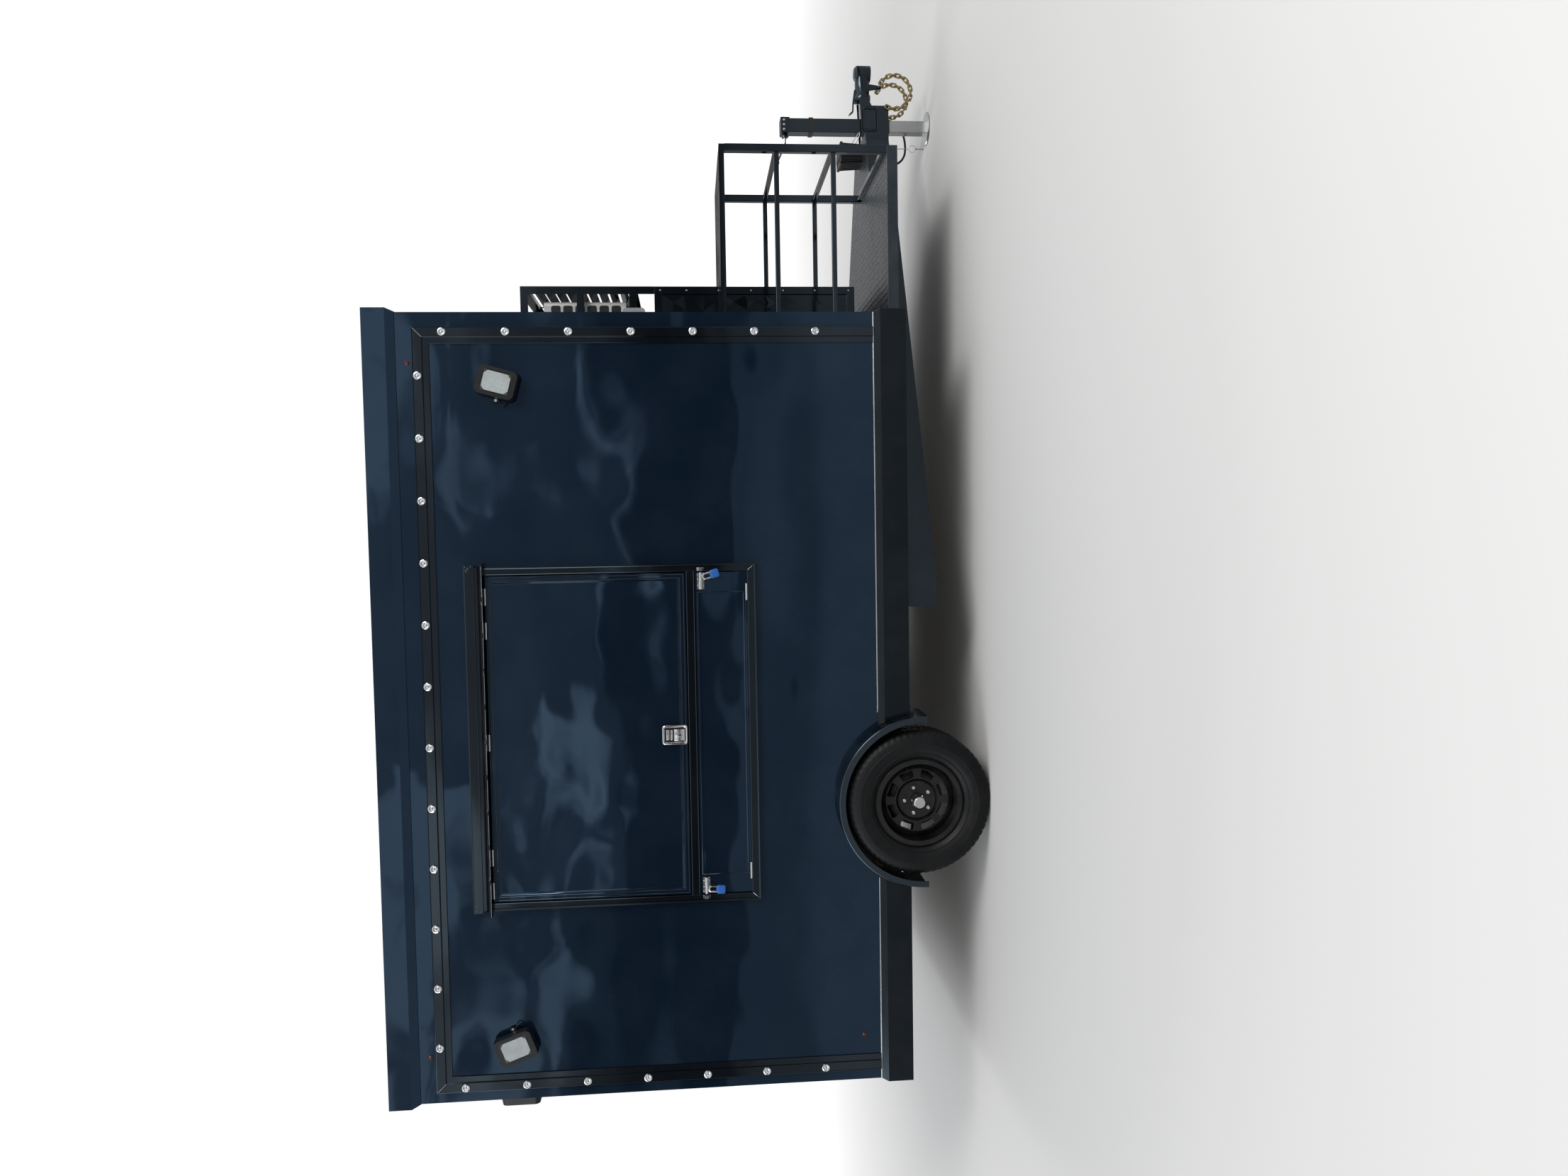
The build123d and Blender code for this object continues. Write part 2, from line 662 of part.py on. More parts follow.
def door_frame():
    """The trim round the rear doorway, with its outer edge chamfered."""
    y, z = door_span()
    x = (REAR_X - DOOR_PROUD, REAR_X)
    outer = slab(x, (y[0] - DOOR_FRAME, y[1] + DOOR_FRAME), (z[0] - DOOR_FRAME, z[1] + DOOR_FRAME))
    face = outer.faces().sort_by(Axis.X)[0]
    outer = chamfer(face.edges(), DOOR_PROUD / 2)
    return outer - slab((x[0] - 1, x[1] + 1), y, z)


def entry_door():
    """The door's skin with a pressed panel, and its hinge knuckles on the left edge."""
    y, z = door_span(RUN_GAP + SLIDE_GAP)
    outer = REAR_X - DOOR_PROUD
    panel = slab((outer, REAR_X + WALL - DOOR_SHORT), y, z)
    pressing = tray((y[0] + DOOR_PANEL_IN, y[1] - DOOR_PANEL_IN),
                    (z[0] + DOOR_PANEL_UP, z[1] - DOOR_PANEL_UP), (0, DOOR_RECESS), DOOR_RECESS)
    panel -= Pos(outer, 0, 0) * Rot(0, 0, -90) * pressing
    pieces = [panel]
    for share in DOOR_HINGES:
        height = z[0] + share * (z[1] - z[0])
        pieces.append(rod_z(HINGE_R, outer, y[1], (height - HINGE_LENGTH / 2, height + HINGE_LENGTH / 2)))
        pieces.append(slab((outer - HINGE_LEAF, outer), (y[1] - HINGE_STRAP, y[1]),
                           (height - HINGE_LENGTH / 2, height + HINGE_LENGTH / 2)))
    return joined(pieces)


def door_handle():
    """A rounded plate with a paddle over its finger well."""
    y, z = door_span(RUN_GAP + SLIDE_GAP)
    at = Pos(REAR_X - DOOR_PROUD, y[0] + DOOR_PANEL_IN / 2, (z[0] + z[1]) / 2)
    plate = extrude(RectangleRounded(HANDLE_W, HANDLE_H, HANDLE_T), HANDLE_T)
    well = Pos(0, HANDLE_H / 8, HANDLE_T) * Cylinder(HANDLE_WELL_R, HANDLE_T)
    outline = RectangleRounded(HANDLE_PADDLE_W, HANDLE_PADDLE_H, HANDLE_T)
    paddle = Pos(0, 0, HANDLE_T / 2) * extrude(outline, HANDLE_T)
    return at * Rot(0, -90, 0) * joined([plate - well, paddle])


def roof_panel():
    return body_block((WALL_TOP, ROOF_TOP))


def roof_cap():
    """The fascia round the top of the walls, with the bevel under it."""
    face = body_block((BEVEL_TOP, ROOF_TOP), FASCIA_OUT)
    bevel = bevel_block(FOLD, FASCIA_OUT, (CAP_BASE, BEVEL_TOP))
    return joined([face, bevel]) - body_block((CAP_BASE - 1, ROOF_TOP + 1))


def side_skirt():
    """The folded sheet round the foot of the box, open over the porch."""
    bevel_z = SKIRT_BOTTOM + SKIRT_FACE
    top = bevel_z + SKIRT_BEVEL
    face = body_block((SKIRT_BOTTOM, bevel_z), SKIRT_OUT)
    bevel = bevel_block(SKIRT_OUT, FOLD, (bevel_z, top))
    skirt = joined([face, bevel]) - body_block((SKIRT_BOTTOM - 1, top + 1))
    skirt -= body_block((SKIRT_BOTTOM - 1, bevel_z - SKIRT_SHEET), SKIRT_OUT - SKIRT_SHEET)
    for side in SIDES.values():
        skirt -= arch(side, SEAT_GAP)
    return skirt - slab((FRONT_X - 1, FRONT_X + SKIRT_OUT + 1), (-PORCH_RIGHT, deck_half_at(FRONT_X)),
                        (SKIRT_BOTTOM - 1, top + 1))


def deck_half_at(x):
    """Half width of the deck over the tongue at x."""
    return NOSE_HALF + (NOSE_X - x) * tan(radians(TONGUE_ANGLE)) + DECK_OVERHANG


# Lights and their channel
def channel_ends():
    """Outer edges of the channel: rear x, front x, top z and foot z."""
    return (REAR_X + CHANNEL_INSET_REAR, FRONT_X - CHANNEL_INSET_FRONT, CAP_BASE - CHANNEL_DROP,
            SKIRT_BOTTOM + SKIRT_FACE + SKIRT_BEVEL + 2 * FOLD)


def light_channel(side):
    """One folded section, swept up the rear column, along the row and down the front column."""
    rear, front, top, foot = channel_ends()
    path = Polyline((rear, SIDE_Y, foot), (rear, SIDE_Y, top), (front, SIDE_Y, top), (front, SIDE_Y, foot))
    lip = CHANNEL_W + CHANNEL_LIP_W
    section = Polyline((0, 0), (0, CHANNEL_OUT - FOLD), (FOLD, CHANNEL_OUT), (CHANNEL_W - FOLD, CHANNEL_OUT),
                       (CHANNEL_W, CHANNEL_LIP_OUT), (lip, CHANNEL_LIP_OUT), (lip, 0), close=True)
    start = Plane(origin=(rear, SIDE_Y, foot), x_dir=(1, 0, 0), z_dir=(0, 0, 1))
    channel = sweep(start * make_face(section), path, transition=Transition.RIGHT)
    return mirrored(channel) if side < 0 else channel


def light_places():
    """Centres of the bullet lights of one side, as (x, z)."""
    rear, front, top, _ = channel_ends()
    row_z = top - CHANNEL_W / 2
    middle = (rear + front) / 2
    places = [(middle + (i - (ROW_LIGHTS - 1) / 2) * LIGHT_PITCH, row_z) for i in range(ROW_LIGHTS)]
    for x in (rear + CHANNEL_W / 2, front - CHANNEL_W / 2):
        places += [(x, row_z - LIGHT_FIRST_DROP - i * LIGHT_PITCH) for i in range(COLUMN_LIGHTS)]
    return places


def bullet_lights(side):
    base = LIGHT_OUT / 3
    light = turned_y([(0, 0), (LIGHT_R, 0), (LIGHT_R, base), (LIGHT_TIP_R, LIGHT_OUT), (0, LIGHT_OUT)])
    light = mirrored(light) if side < 0 else light
    return [Pos(x, side * (SIDE_Y + CHANNEL_OUT), z) * light for x, z in light_places()]


def marker_lights(side):
    """Amber markers above the row of lights and low at the rear corner."""
    lamp = turned_y([(0, 0), (MARKER_R, 0), (MARKER_R, MARKER_OUT / 2),
                     (MARKER_R / 2, MARKER_OUT), (0, MARKER_OUT)])
    lamp = mirrored(lamp) if side < 0 else lamp
    high = CAP_BASE - MARKER_DROP
    places = ((FRONT_X - MARKER_FRONT, high), (REAR_X + MARKER_REAR, high),
              (REAR_X + MARKER_REAR, FLOOR_TOP + MARKER_RISE))
    return [Pos(x, side * SIDE_Y, z) * lamp for x, z in places]


# Serving window
def frame_ends():
    return FRAME_CENTRE_X - FRAME_HALF, FRAME_CENTRE_X + FRAME_HALF


def window_frame():
    """Header, columns, transom and sill, with the beads and the sloping drip ledge."""
    x0, x1 = frame_ends()
    y = (-SIDE_Y - FRAME_OUT, -SIDE_Y)
    frame = slab((x0, x1), y, (FRAME_BOTTOM, FRAME_TOP))
    inner = (x0 + FRAME_COLUMN, x1 - FRAME_COLUMN)
    through = (y[0] - 1, y[1] + 1)
    frame -= slab(inner, through, (TRANSOM_TOP, LEDGE_TOP - LEDGE_H))
    frame -= slab(inner, through, (SILL_TOP, TRANSOM_BOTTOM))
    raised = (y[0] - FRAME_BEAD_OUT, y[0])
    beads = [slab((x0, x0 + FRAME_BEAD), raised, (FRAME_BOTTOM, LEDGE_TOP - LEDGE_H)),
             slab((x1 - FRAME_BEAD, x1), raised, (FRAME_BOTTOM, LEDGE_TOP - LEDGE_H)),
             slab((x0, x1), raised, (FRAME_BOTTOM, FRAME_BOTTOM + FRAME_BEAD))]
    header = slab((x0 - HEADER_EXTRA, x1 + HEADER_EXTRA), (y[0] - HEADER_OUT, y[1]),
                  (FRAME_TOP - HEADER_H, FRAME_TOP))
    front = y[0] - LEDGE_OUT
    low = LEDGE_TOP - LEDGE_H
    ledge = profile_x([(y[0], LEDGE_TOP), (front, low + LEDGE_EDGE), (front, low), (y[0], low)],
                      (x0 - LEDGE_EXTRA, x1 + LEDGE_EXTRA))
    step = (x1 - x0) / LEDGE_HOLES
    for i in range(LEDGE_HOLES):
        ledge -= rod_z(LEDGE_HOLE_R, x0 + (i + 0.5) * step, front, (low - 1, LEDGE_TOP))
    return joined([frame, header, ledge] + beads)


def hatch_ends():
    x0, x1 = frame_ends()
    gap = FRAME_COLUMN + RUN_GAP + SLIDE_GAP
    return x0 + gap, x1 - gap


def hatch_axis():
    """Y and Z of the hatch's hinge line."""
    return -SIDE_Y - FRAME_OUT, LEDGE_TOP - LEDGE_H - HINGE_R - SEAT_GAP


def knuckles(ends, shares, y, z):
    """Hinge knuckles along X, centred at shares of the width."""
    places = [ends[0] + share * (ends[1] - ends[0]) for share in shares]
    return [rod_x(HINGE_R, (at - HINGE_LENGTH / 2, at + HINGE_LENGTH / 2), y, z) for at in places]


def hatch_door():
    """The lifting door of the serving window, with its pressed panel and hinge knuckles."""
    x = hatch_ends()
    axis_y, axis_z = hatch_axis()
    z = (TRANSOM_TOP + RUN_GAP + SLIDE_GAP, axis_z)
    b = HATCH_BORDER
    panel = slab(x, (axis_y, axis_y + HATCH_THICK), z)
    panel -= tray((x[0] + b, x[1] - b), (z[0] + b, z[1] - b), (axis_y, axis_y + HATCH_RECESS), HATCH_RECESS)
    return joined([panel] + knuckles(x, HATCH_HINGES, axis_y, axis_z))


def paddle_latch():
    """The chrome paddle lock in the middle of the hatch's lower edge."""
    axis_y, _ = hatch_axis()
    low = TRANSOM_TOP + RUN_GAP + SLIDE_GAP + 1
    middle = Plane.XZ * Pos(FRAME_CENTRE_X, low + LATCH_H / 2)
    face = axis_y - LATCH_OUT
    plate = Pos(0, axis_y + HATCH_RECESS, 0) * extrude(
        middle * RectangleRounded(LATCH_W, LATCH_H, LATCH_RIM), HATCH_RECESS + LATCH_OUT)
    bowl = Pos(0, face + LATCH_OUT / 2, 0) * extrude(
        middle * RectangleRounded(LATCH_W - 2 * LATCH_RIM, LATCH_H - 2 * LATCH_RIM, LATCH_OUT), LATCH_OUT)
    paddle = Pos(0, face + LATCH_OUT / 2, 0) * extrude(
        middle * RectangleRounded(PADDLE_W, PADDLE_H, LATCH_OUT), PADDLE_T)
    return joined([plate - bowl, paddle]) - hatch_door()


def shelf_span():
    """The folded shelf's ends along X, and the heights of its hinge line and upper edge."""
    return hatch_ends(), (SILL_TOP + HINGE_R, TRANSOM_BOTTOM - RUN_GAP)


def serving_shelf():
    """The shelf that folds down on the hinge along its lower edge."""
    x, z = shelf_span()
    outer = -SIDE_Y - FRAME_OUT
    foot = z[0] - HINGE_R + SEAT_GAP
    b = SHELF_BORDER
    board = slab(x, (outer, outer + SHELF_THICK), (foot, z[1]))
    board -= tray((x[0] + BOLT_LENGTH + b, x[1] - BOLT_LENGTH - b), (foot + b, z[1] - b),
                  (outer, outer + SHELF_RECESS), SHELF_RECESS)
    return joined([board] + knuckles(x, SHELF_HINGES, outer, z[0]))


def bolt_line():
    """Where the barrel bolts run: their middle line's Y and Z."""
    _, z = shelf_span()
    return -SIDE_Y - FRAME_OUT - BOLT_R - BOLT_PLATE / 2, z[1] - BOLT_DROP


def shelf_bolts():
    """A barrel bolt with its two straps at each end of the shelf."""
    x, _ = shelf_span()
    y, z = bolt_line()
    outer = -SIDE_Y - FRAME_OUT
    pieces = []
    for end, inward in ((x[0], 1), (x[1], -1)):
        plate = sorted((end + inward * HINGE_LEAF, end + inward * BOLT_LENGTH))
        bar = sorted((end, end + inward * BOLT_LENGTH))
        base = slab(plate, (outer - BOLT_PLATE, outer), (z - BOLT_PLATE_H / 2, z + BOLT_PLATE_H / 2))
        straps = []
        for share in BOLT_STRAPS:
            at = end + inward * share * BOLT_LENGTH
            strap = rod_x(BOLT_R + HINGE_LEAF, (at - BOLT_R, at + BOLT_R), y, z)
            room = slab((at - BOLT_R, at + BOLT_R), (y - 2 * BOLT_R, outer), (z - 2 * BOLT_R, z + 2 * BOLT_R))
            straps.append(strap & room)
        pieces.append(joined([base, rod_x(BOLT_R, bar, y, z)] + straps))
    return pieces


def bolt_keepers():
    """The keeper on the frame's column beside each barrel bolt."""
    x, _ = shelf_span()
    y, z = bolt_line()
    outer = -SIDE_Y - FRAME_OUT
    half = BOLT_PLATE_H / 2
    keeper = [(outer, z - half), (outer - BOLT_PLATE, z - half), (y - BOLT_R, z - BOLT_R),
              (y - BOLT_R, z + BOLT_R), (outer - BOLT_PLATE, z + half), (outer, z + half)]
    pieces = []
    for end, outward in ((x[0], -1), (x[1], 1)):
        near = end + outward * (RUN_GAP + HINGE_LEAF)
        pieces.append(profile_x(keeper, sorted((near, near + outward * KEEPER_W))))
    return pieces


def padlocks():
    """A padlock hanging under each barrel bolt, on its bent shackle."""
    x, _ = shelf_span()
    y, z = bolt_line()
    top = z - BOLT_R - SHACKLE / 2
    body_top = top - SHACKLE_H
    body = extrude(RectangleRounded(LOCK_W, LOCK_T, LOCK_T / 3), LOCK_H)
    body = fillet(body.faces().sort_by(Axis.Z)[0].edges(), LOCK_T / 5)
    reach = LOCK_W / 2 - SHACKLE
    sunk = -SHACKLE_H - 1
    bow = FilletPolyline((-reach, 0, sunk), (-reach, 0, 0), (reach, 0, 0), (reach, 0, sunk), radius=reach - 1)
    shackle = sweep(Plane(bow @ 0, z_dir=bow % 0) * Circle(SHACKLE / 2), bow)
    pieces = []
    for end, inward in ((x[0], 1), (x[1], -1)):
        at = end + inward * (LOCK_W / 2 + HINGE_LEAF)
        pieces.append(joined([Pos(at, y, body_top - LOCK_H) * body, Pos(at, y, top) * shackle]))
    return pieces


# Floodlights
def flood_housing():
    """One floodlight facing -Y, with fins behind and its foot on the wall at y = 0."""
    back = -FLOOD_OFF
    front = back - FLOOD_T
    outline = RectangleRounded(FLOOD_W, FLOOD_H, FLOOD_CORNER)
    bezel = loft([Pos(0, 0, 0) * outline, Pos(0, 0, FLOOD_T) * scale(outline, by=FLOOD_TAPER)])
    housing = Pos(0, back, 0) * Rot(90, 0, 0) * bezel
    housing -= slab((-LENS_W / 2, LENS_W / 2), (front - 1, front + LENS_T), (-LENS_H / 2, LENS_H / 2))
    reach = FLOOD_H / 2 - FLOOD_CORNER
    pieces = [housing]
    for i in range(FLOOD_FINS):
        at = (i - (FLOOD_FINS - 1) / 2) * FLOOD_FIN_PITCH
        fin = (at - FLOOD_FIN / 2, at + FLOOD_FIN / 2)
        pieces.append(slab(fin, (back, back + FLOOD_FIN_H), (-reach, reach)))
    pieces.append(slab((-FLOOD_FOOT / 2, FLOOD_FOOT / 2), (back, 0), (-FLOOD_FOOT / 2, FLOOD_FOOT / 2)))
    return joined(pieces)


def flood_lens():
    front = -FLOOD_OFF - FLOOD_T
    half_w = LENS_W / 2 - SEAT_GAP
    half_h = LENS_H / 2 - SEAT_GAP
    return slab((-half_w, half_w), (front, front + LENS_T), (-half_h, half_h))


def flood_places():
    """Where each floodlight goes: two on the right-hand wall and one on the rear wall."""
    z = CAP_BASE - FLOOD_DROP
    places = [Pos(x, -SIDE_Y, z) * Rot(0, turn, 0) for x, turn in FLOODS]
    places.append(Pos(REAR_X, -SIDE_Y + REAR_FLOOD_IN, z) * Rot(0, 0, -90))
    return places


# Fenders and wheel wells
def fender(side):
    """The round fender with its rolled outer edge, and the bracket that ties its front end to the skirt."""
    outer = SIDE_Y + FENDER_OUT
    inner = outer - FENDER_W
    r = FENDER_R
    t = FENDER_SHEET
    roll = FENDER_ROLL
    bend = roll * cos(radians(45))
    outline = Polyline((r - t, inner), (r, inner), (r, outer - roll))
    outline += ThreePointArc((r, outer - roll), (r - roll + bend, outer - roll + bend), (r - roll, outer))
    outline += Polyline((r - roll, outer), (r - FENDER_LIP, outer), (r - FENDER_LIP, outer - t),
                        (r - roll, outer - t), (r - t, outer - roll), (r - t, inner))
    ring = revolve(make_face(outline), Axis.Y, FENDER_SWEEP)
    shape = Pos(FENDER_AHEAD, 0, FENDER_Z) * Rot(0, 270 - FENDER_SWEEP / 2, 0) * ring
    low = SKIRT_BOTTOM - FENDER_TAB_DROP
    near = [FENDER_AHEAD + sqrt((r - t / 2) ** 2 - (z - FENDER_Z) ** 2) for z in (SKIRT_BOTTOM, low)]
    far = near[0] + FENDER_TAB
    edge = SIDE_Y + SKIRT_OUT
    tab = profile_y([(near[0], SKIRT_BOTTOM), (far, SKIRT_BOTTOM), (far, SKIRT_BOTTOM - t), (near[1], low)],
                    (edge - FENDER_TAB_W, edge))
    shape = joined([shape, tab])
    return mirrored(shape) if side < 0 else shape


def wheel_well(side):
    """The cover over the fender inside the cabin."""
    inner = SIDE_Y + FENDER_OUT - FENDER_W - WELL_GAP
    wall = SIDE_Y - WALL
    t = WELL_SHEET
    half = FENDER_R + WELL_GAP
    top = FENDER_Z + half
    slope = half / 2
    outline = [(-half, FLOOR_TOP), (-half, top - slope / 2), (-half + slope, top), (half - slope, top),
               (half, top - slope / 2), (half, FLOOR_TOP)]
    hollow = [(-half + t, FLOOR_TOP - 1), (-half + t, top - slope / 2 - t / 2), (-half + slope, top - t),
              (half - slope, top - t), (half - t, top - slope / 2 - t / 2), (half - t, FLOOR_TOP - 1)]
    cover = profile_y(outline, flanked(side, inner, wall))
    cover -= profile_y(hollow, flanked(side, inner + t, wall + 1))
    return Pos(FENDER_AHEAD, 0, 0) * cover


# Wheels, made about the origin with the outer side towards -Y
def tyre():
    half = TYRE_W / 2
    seat = RIM_W / 2 - RIM_SEAT
    bore = BARREL_R + SEAT_GAP
    profile = [(bore, seat), (RIM_R + RIM_SEAT / 3, seat), (TYRE_R - TYRE_BULGE, half),
               (TYRE_R - TYRE_SHOULDER, half - TYRE_SHOULDER), (TYRE_R, half - TYRE_CROWN)]
    other = [(r, -y) for r, y in reversed(profile)]
    return turned_y(profile + other)


def rim():
    """The steel wheel: a stepped barrel with flanges, and a dished disc with rounded hand holes."""
    half = RIM_W / 2
    seat = half - RIM_SEAT + SEAT_GAP
    inside = BARREL_R - BARREL_SHEET
    edge = RIM_SEAT / 4
    flange = [(RIM_R, seat), (RIM_R, half - edge), (RIM_R - edge, half)]
    barrel = [(inside, -half)] + [(r, -y) for r, y in reversed(flange)]
    barrel += [(BARREL_R, -seat), (BARREL_R, seat)] + flange + [(inside, half)]
    face = -DISC_OUT
    low = face + DISC_STEP
    rise = face - DISC_STEP
    front = [(DISC_HOLE_R, face), (DISC_HUB_R, face), (DISC_HUB_R + DISC_STEP, low),
             (HAND_HOLE_IN - DISC_SHEET, rise), (HAND_HOLE_OUT + DISC_SHEET, rise),
             (inside - DISC_STEP, low), (inside, low + DISC_STEP)]
    back = [(r, y + DISC_SHEET) for r, y in reversed(front)]
    disc = turned_y(front + back)
    for i in range(HAND_HOLES):
        disc -= Rot(0, (i + 0.5) * 360 / HAND_HOLES, 0) * hand_hole()
    for x, z in stud_places():
        disc -= rod_y(STUD_R + SEAT_GAP, x, (face - 1, face + DISC_SHEET + 1), z)
    return joined([turned_y(barrel), disc])


def hand_hole():
    """The tool for one hand hole: a trapezoid with rounded corners that points to the hub."""
    arc = pi / HAND_HOLES * HAND_HOLE_SHARE
    wide = HAND_HOLE_OUT * tan(arc)
    narrow = HAND_HOLE_IN * tan(arc)
    outline = Polyline((-narrow, HAND_HOLE_IN), (narrow, HAND_HOLE_IN), (wide, HAND_HOLE_OUT),
                       (-wide, HAND_HOLE_OUT), close=True)
    sketch = make_face(outline)
    sketch = fillet(sketch.vertices(), DISC_SHEET)
    tool = extrude(sketch, 2 * DRUM_LENGTH)
    return Pos(0, DRUM_LENGTH, 0) * Rot(90, 0, 0) * tool


def stud_places():
    r = STUD_CIRCLE / 2
    turns = [2 * pi * i / STUDS for i in range(STUDS)]
    return [(r * sin(turn), r * cos(turn)) for turn in turns]


def hub():
    """Brake drum and flange, bored for the spindle, with the studs."""
    face = -DISC_OUT + DISC_SHEET
    outer = face + HUB_FLANGE
    inner = outer + DRUM_LENGTH
    bore = SPINDLE_R + RUN_FIT
    wall = DRUM_R - DRUM_SHEET
    body = turned_y([(bore, outer - HUB_FLANGE / 2), (0, outer - HUB_FLANGE / 2), (0, face),
                     (DISC_HUB_R, face), (DISC_HUB_R, outer), (wall, outer), (DRUM_R, outer + DRUM_SHEET),
                     (DRUM_R, inner), (wall, inner), (wall, outer + DRUM_SHEET),
                     (HUB_BOSS_R, outer + DRUM_SHEET), (HUB_BOSS_R, inner - RUN_GAP),
                     (bore, inner - RUN_GAP)])
    studs = [rod_y(STUD_R, x, (face - DISC_SHEET - NUT_H / 2, face), z) for x, z in stud_places()]
    return joined([body] + studs)


def hub_cap():
    """The grease cap with its rounded end, and the six-sided lug nuts."""
    face = -DISC_OUT
    base = face + DISC_SHEET
    end = face - CAP_OUT
    neck, shoulder = (face - CAP_OUT * share for share in CAP_NECK)
    cap = turned_y([(0, base), (CAP_R, base), (CAP_R, neck), (CAP_R - CAP_STEP, shoulder),
                    (CAP_R - CAP_STEP, end + CAP_STEP), (CAP_R - 2 * CAP_STEP, end), (0, end)])
    nut = extrude(RegularPolygon(NUT_R, 6), NUT_H)
    nut = chamfer(nut.faces().sort_by(Axis.Z)[-1].edges(), NUT_R / 4)
    nut -= Cylinder(STUD_R + SEAT_GAP, NUT_H + 1)
    nut = Rot(90, 0, 0) * nut
    return [cap] + [Pos(x, face, z) * nut for x, z in stud_places()]


def place_wheel(shape, side):
    shape = shape if side < 0 else mirrored(shape)
    return Pos(0, side * WHEEL_Y, SPIN_Z) * shape


# Porch and cage
def porch_deck():
    """The tread plate over the tongue, and its right-hand platform on a frame of beams."""
    nose_half = NOSE_HALF + DECK_OVERHANG
    edge = [(FRONT_X, -PORCH_RIGHT), (PORCH_END, -PORCH_RIGHT), (PORCH_END, -deck_half_at(PORCH_END)),
            (NOSE_X, -nose_half), (NOSE_X, nose_half), (FRONT_X, deck_half_at(FRONT_X))]
    plate = plan(edge, (TONGUE_Z, DECK_Z))
    b = PORCH_BEAM
    z = (TONGUE_Z - b, TONGUE_Z)
    slope = b * tan(radians(TONGUE_ANGLE))
    front_y = deck_half_at(PORCH_END) - DECK_OVERHANG + 1
    wall_y = deck_half_at(FRONT_X) - DECK_OVERHANG + 1
    beams = [slab((FRONT_X, PORCH_END), (-PORCH_RIGHT, -PORCH_RIGHT + b), z),
             plan([(PORCH_END - b, -PORCH_RIGHT), (PORCH_END, -PORCH_RIGHT), (PORCH_END, -front_y),
                   (PORCH_END - b, -front_y - slope)], z),
             plan([(FRONT_X, -PORCH_RIGHT), (FRONT_X + b, -PORCH_RIGHT), (FRONT_X + b, -wall_y + slope),
                   (FRONT_X, -wall_y)], z)]
    return joined([plate] + beams)


def cage_corners():
    """Centres of the cage's front posts."""
    x = PORCH_END - POST / 2
    return (x, -PORCH_RIGHT + POST / 2), (x, CAGE_LEFT)


def cage_rails():
    """Square-tube railing: posts, side rails back to the wall or the cabinet, and front rails."""
    (x, right), (_, left) = cage_corners()
    top = CAGE_TOP - CAGE_RAIL
    wall_post = FRONT_X + POST / 2
    corners = ((x, right), (x, left), (wall_post, right))
    pieces = [post(at_x, at_y, (DECK_Z, top)) for at_x, at_y in corners]
    middles = [DECK_Z + height for height in CAGE_MID] + [CAGE_TOP - CAGE_RAIL / 2]
    for z in middles:
        pieces.append(tube_x((FRONT_X, x + POST / 2), right, z))
        pieces.append(tube_x((FRONT_X + RACK_DEPTH, x + POST / 2), left, z))
        pieces.append(tube_y(x, (right - CAGE_RAIL / 2, left + CAGE_RAIL / 2), z))
    pieces.append(tube_y(x, (right, left), DECK_Z + CAGE_RAIL / 2))
    return joined(pieces)


def cage_lid():
    """The flat lid, cut out round the cabinet."""
    (x, right), (_, left) = cage_corners()
    edge = POST / 2
    z = (CAGE_TOP, CAGE_TOP + LID_SHEET)
    lid = slab((FRONT_X, x + edge), (right - edge, left + edge), z)
    notch = slab((FRONT_X - 1, FRONT_X + RACK_DEPTH + SEAT_GAP), (RACK_RIGHT - SEAT_GAP, left + edge + 1),
                 (z[0] - 1, z[1] + 1))
    return lid - notch


# Rack, air conditioner and cabinet on the front wall
def angle_bar(length):
    """An angle iron along Z, with its corner on the Z axis and its legs towards -X and +Y."""
    a = RACK_ANGLE
    t = RACK_SHEET
    outline = Polyline((0, 0), (-a, 0), (-a, t), (-t, t), (-t, a), (0, a), close=True)
    return extrude(make_face(outline), length)


def rack_frame():
    """Angle-iron frame above the cabinet: posts, and bars at the top, the middle and the shelf."""
    front = FRONT_X + RACK_DEPTH
    height = RACK_TOP - CABINET_TOP
    width = RACK_LEFT - RACK_RIGHT
    middle = (RACK_RIGHT + RACK_LEFT) / 2
    a = RACK_ANGLE
    t = RACK_SHEET
    corner = Pos(front, RACK_RIGHT, CABINET_TOP) * angle_bar(height)
    stile = slab((FRONT_X, FRONT_X + a), (RACK_RIGHT, RACK_RIGHT + t), (CABINET_TOP, RACK_TOP))
    rail = Rot(0, 90, 0) * angle_bar(RACK_DEPTH)
    rails = [Pos(FRONT_X, RACK_RIGHT, top) * mirror(rail, about=Plane.XY) for top in (RACK_TOP, RACK_SHELF)]
    mid_top = RACK_TOP - RACK_MID_DROP
    band = slab((FRONT_X, front), (RACK_RIGHT, RACK_RIGHT + t), (mid_top - a, mid_top))
    half = [corner, stile, band] + rails
    other = [Pos(0, 2 * middle, 0) * mirrored(piece) for piece in half]
    pieces = half + other
    for top in (RACK_TOP, RACK_SHELF):
        pieces.append(slab((front - t, front), (RACK_RIGHT, RACK_LEFT), (top - a, top)))
        pieces.append(Pos(front - a / 2, middle, top - t / 2) * Box(a, width, t))
        pieces.append(Pos(FRONT_X + a / 2, middle, top - t / 2) * Box(a, width, t))
    return joined(pieces)


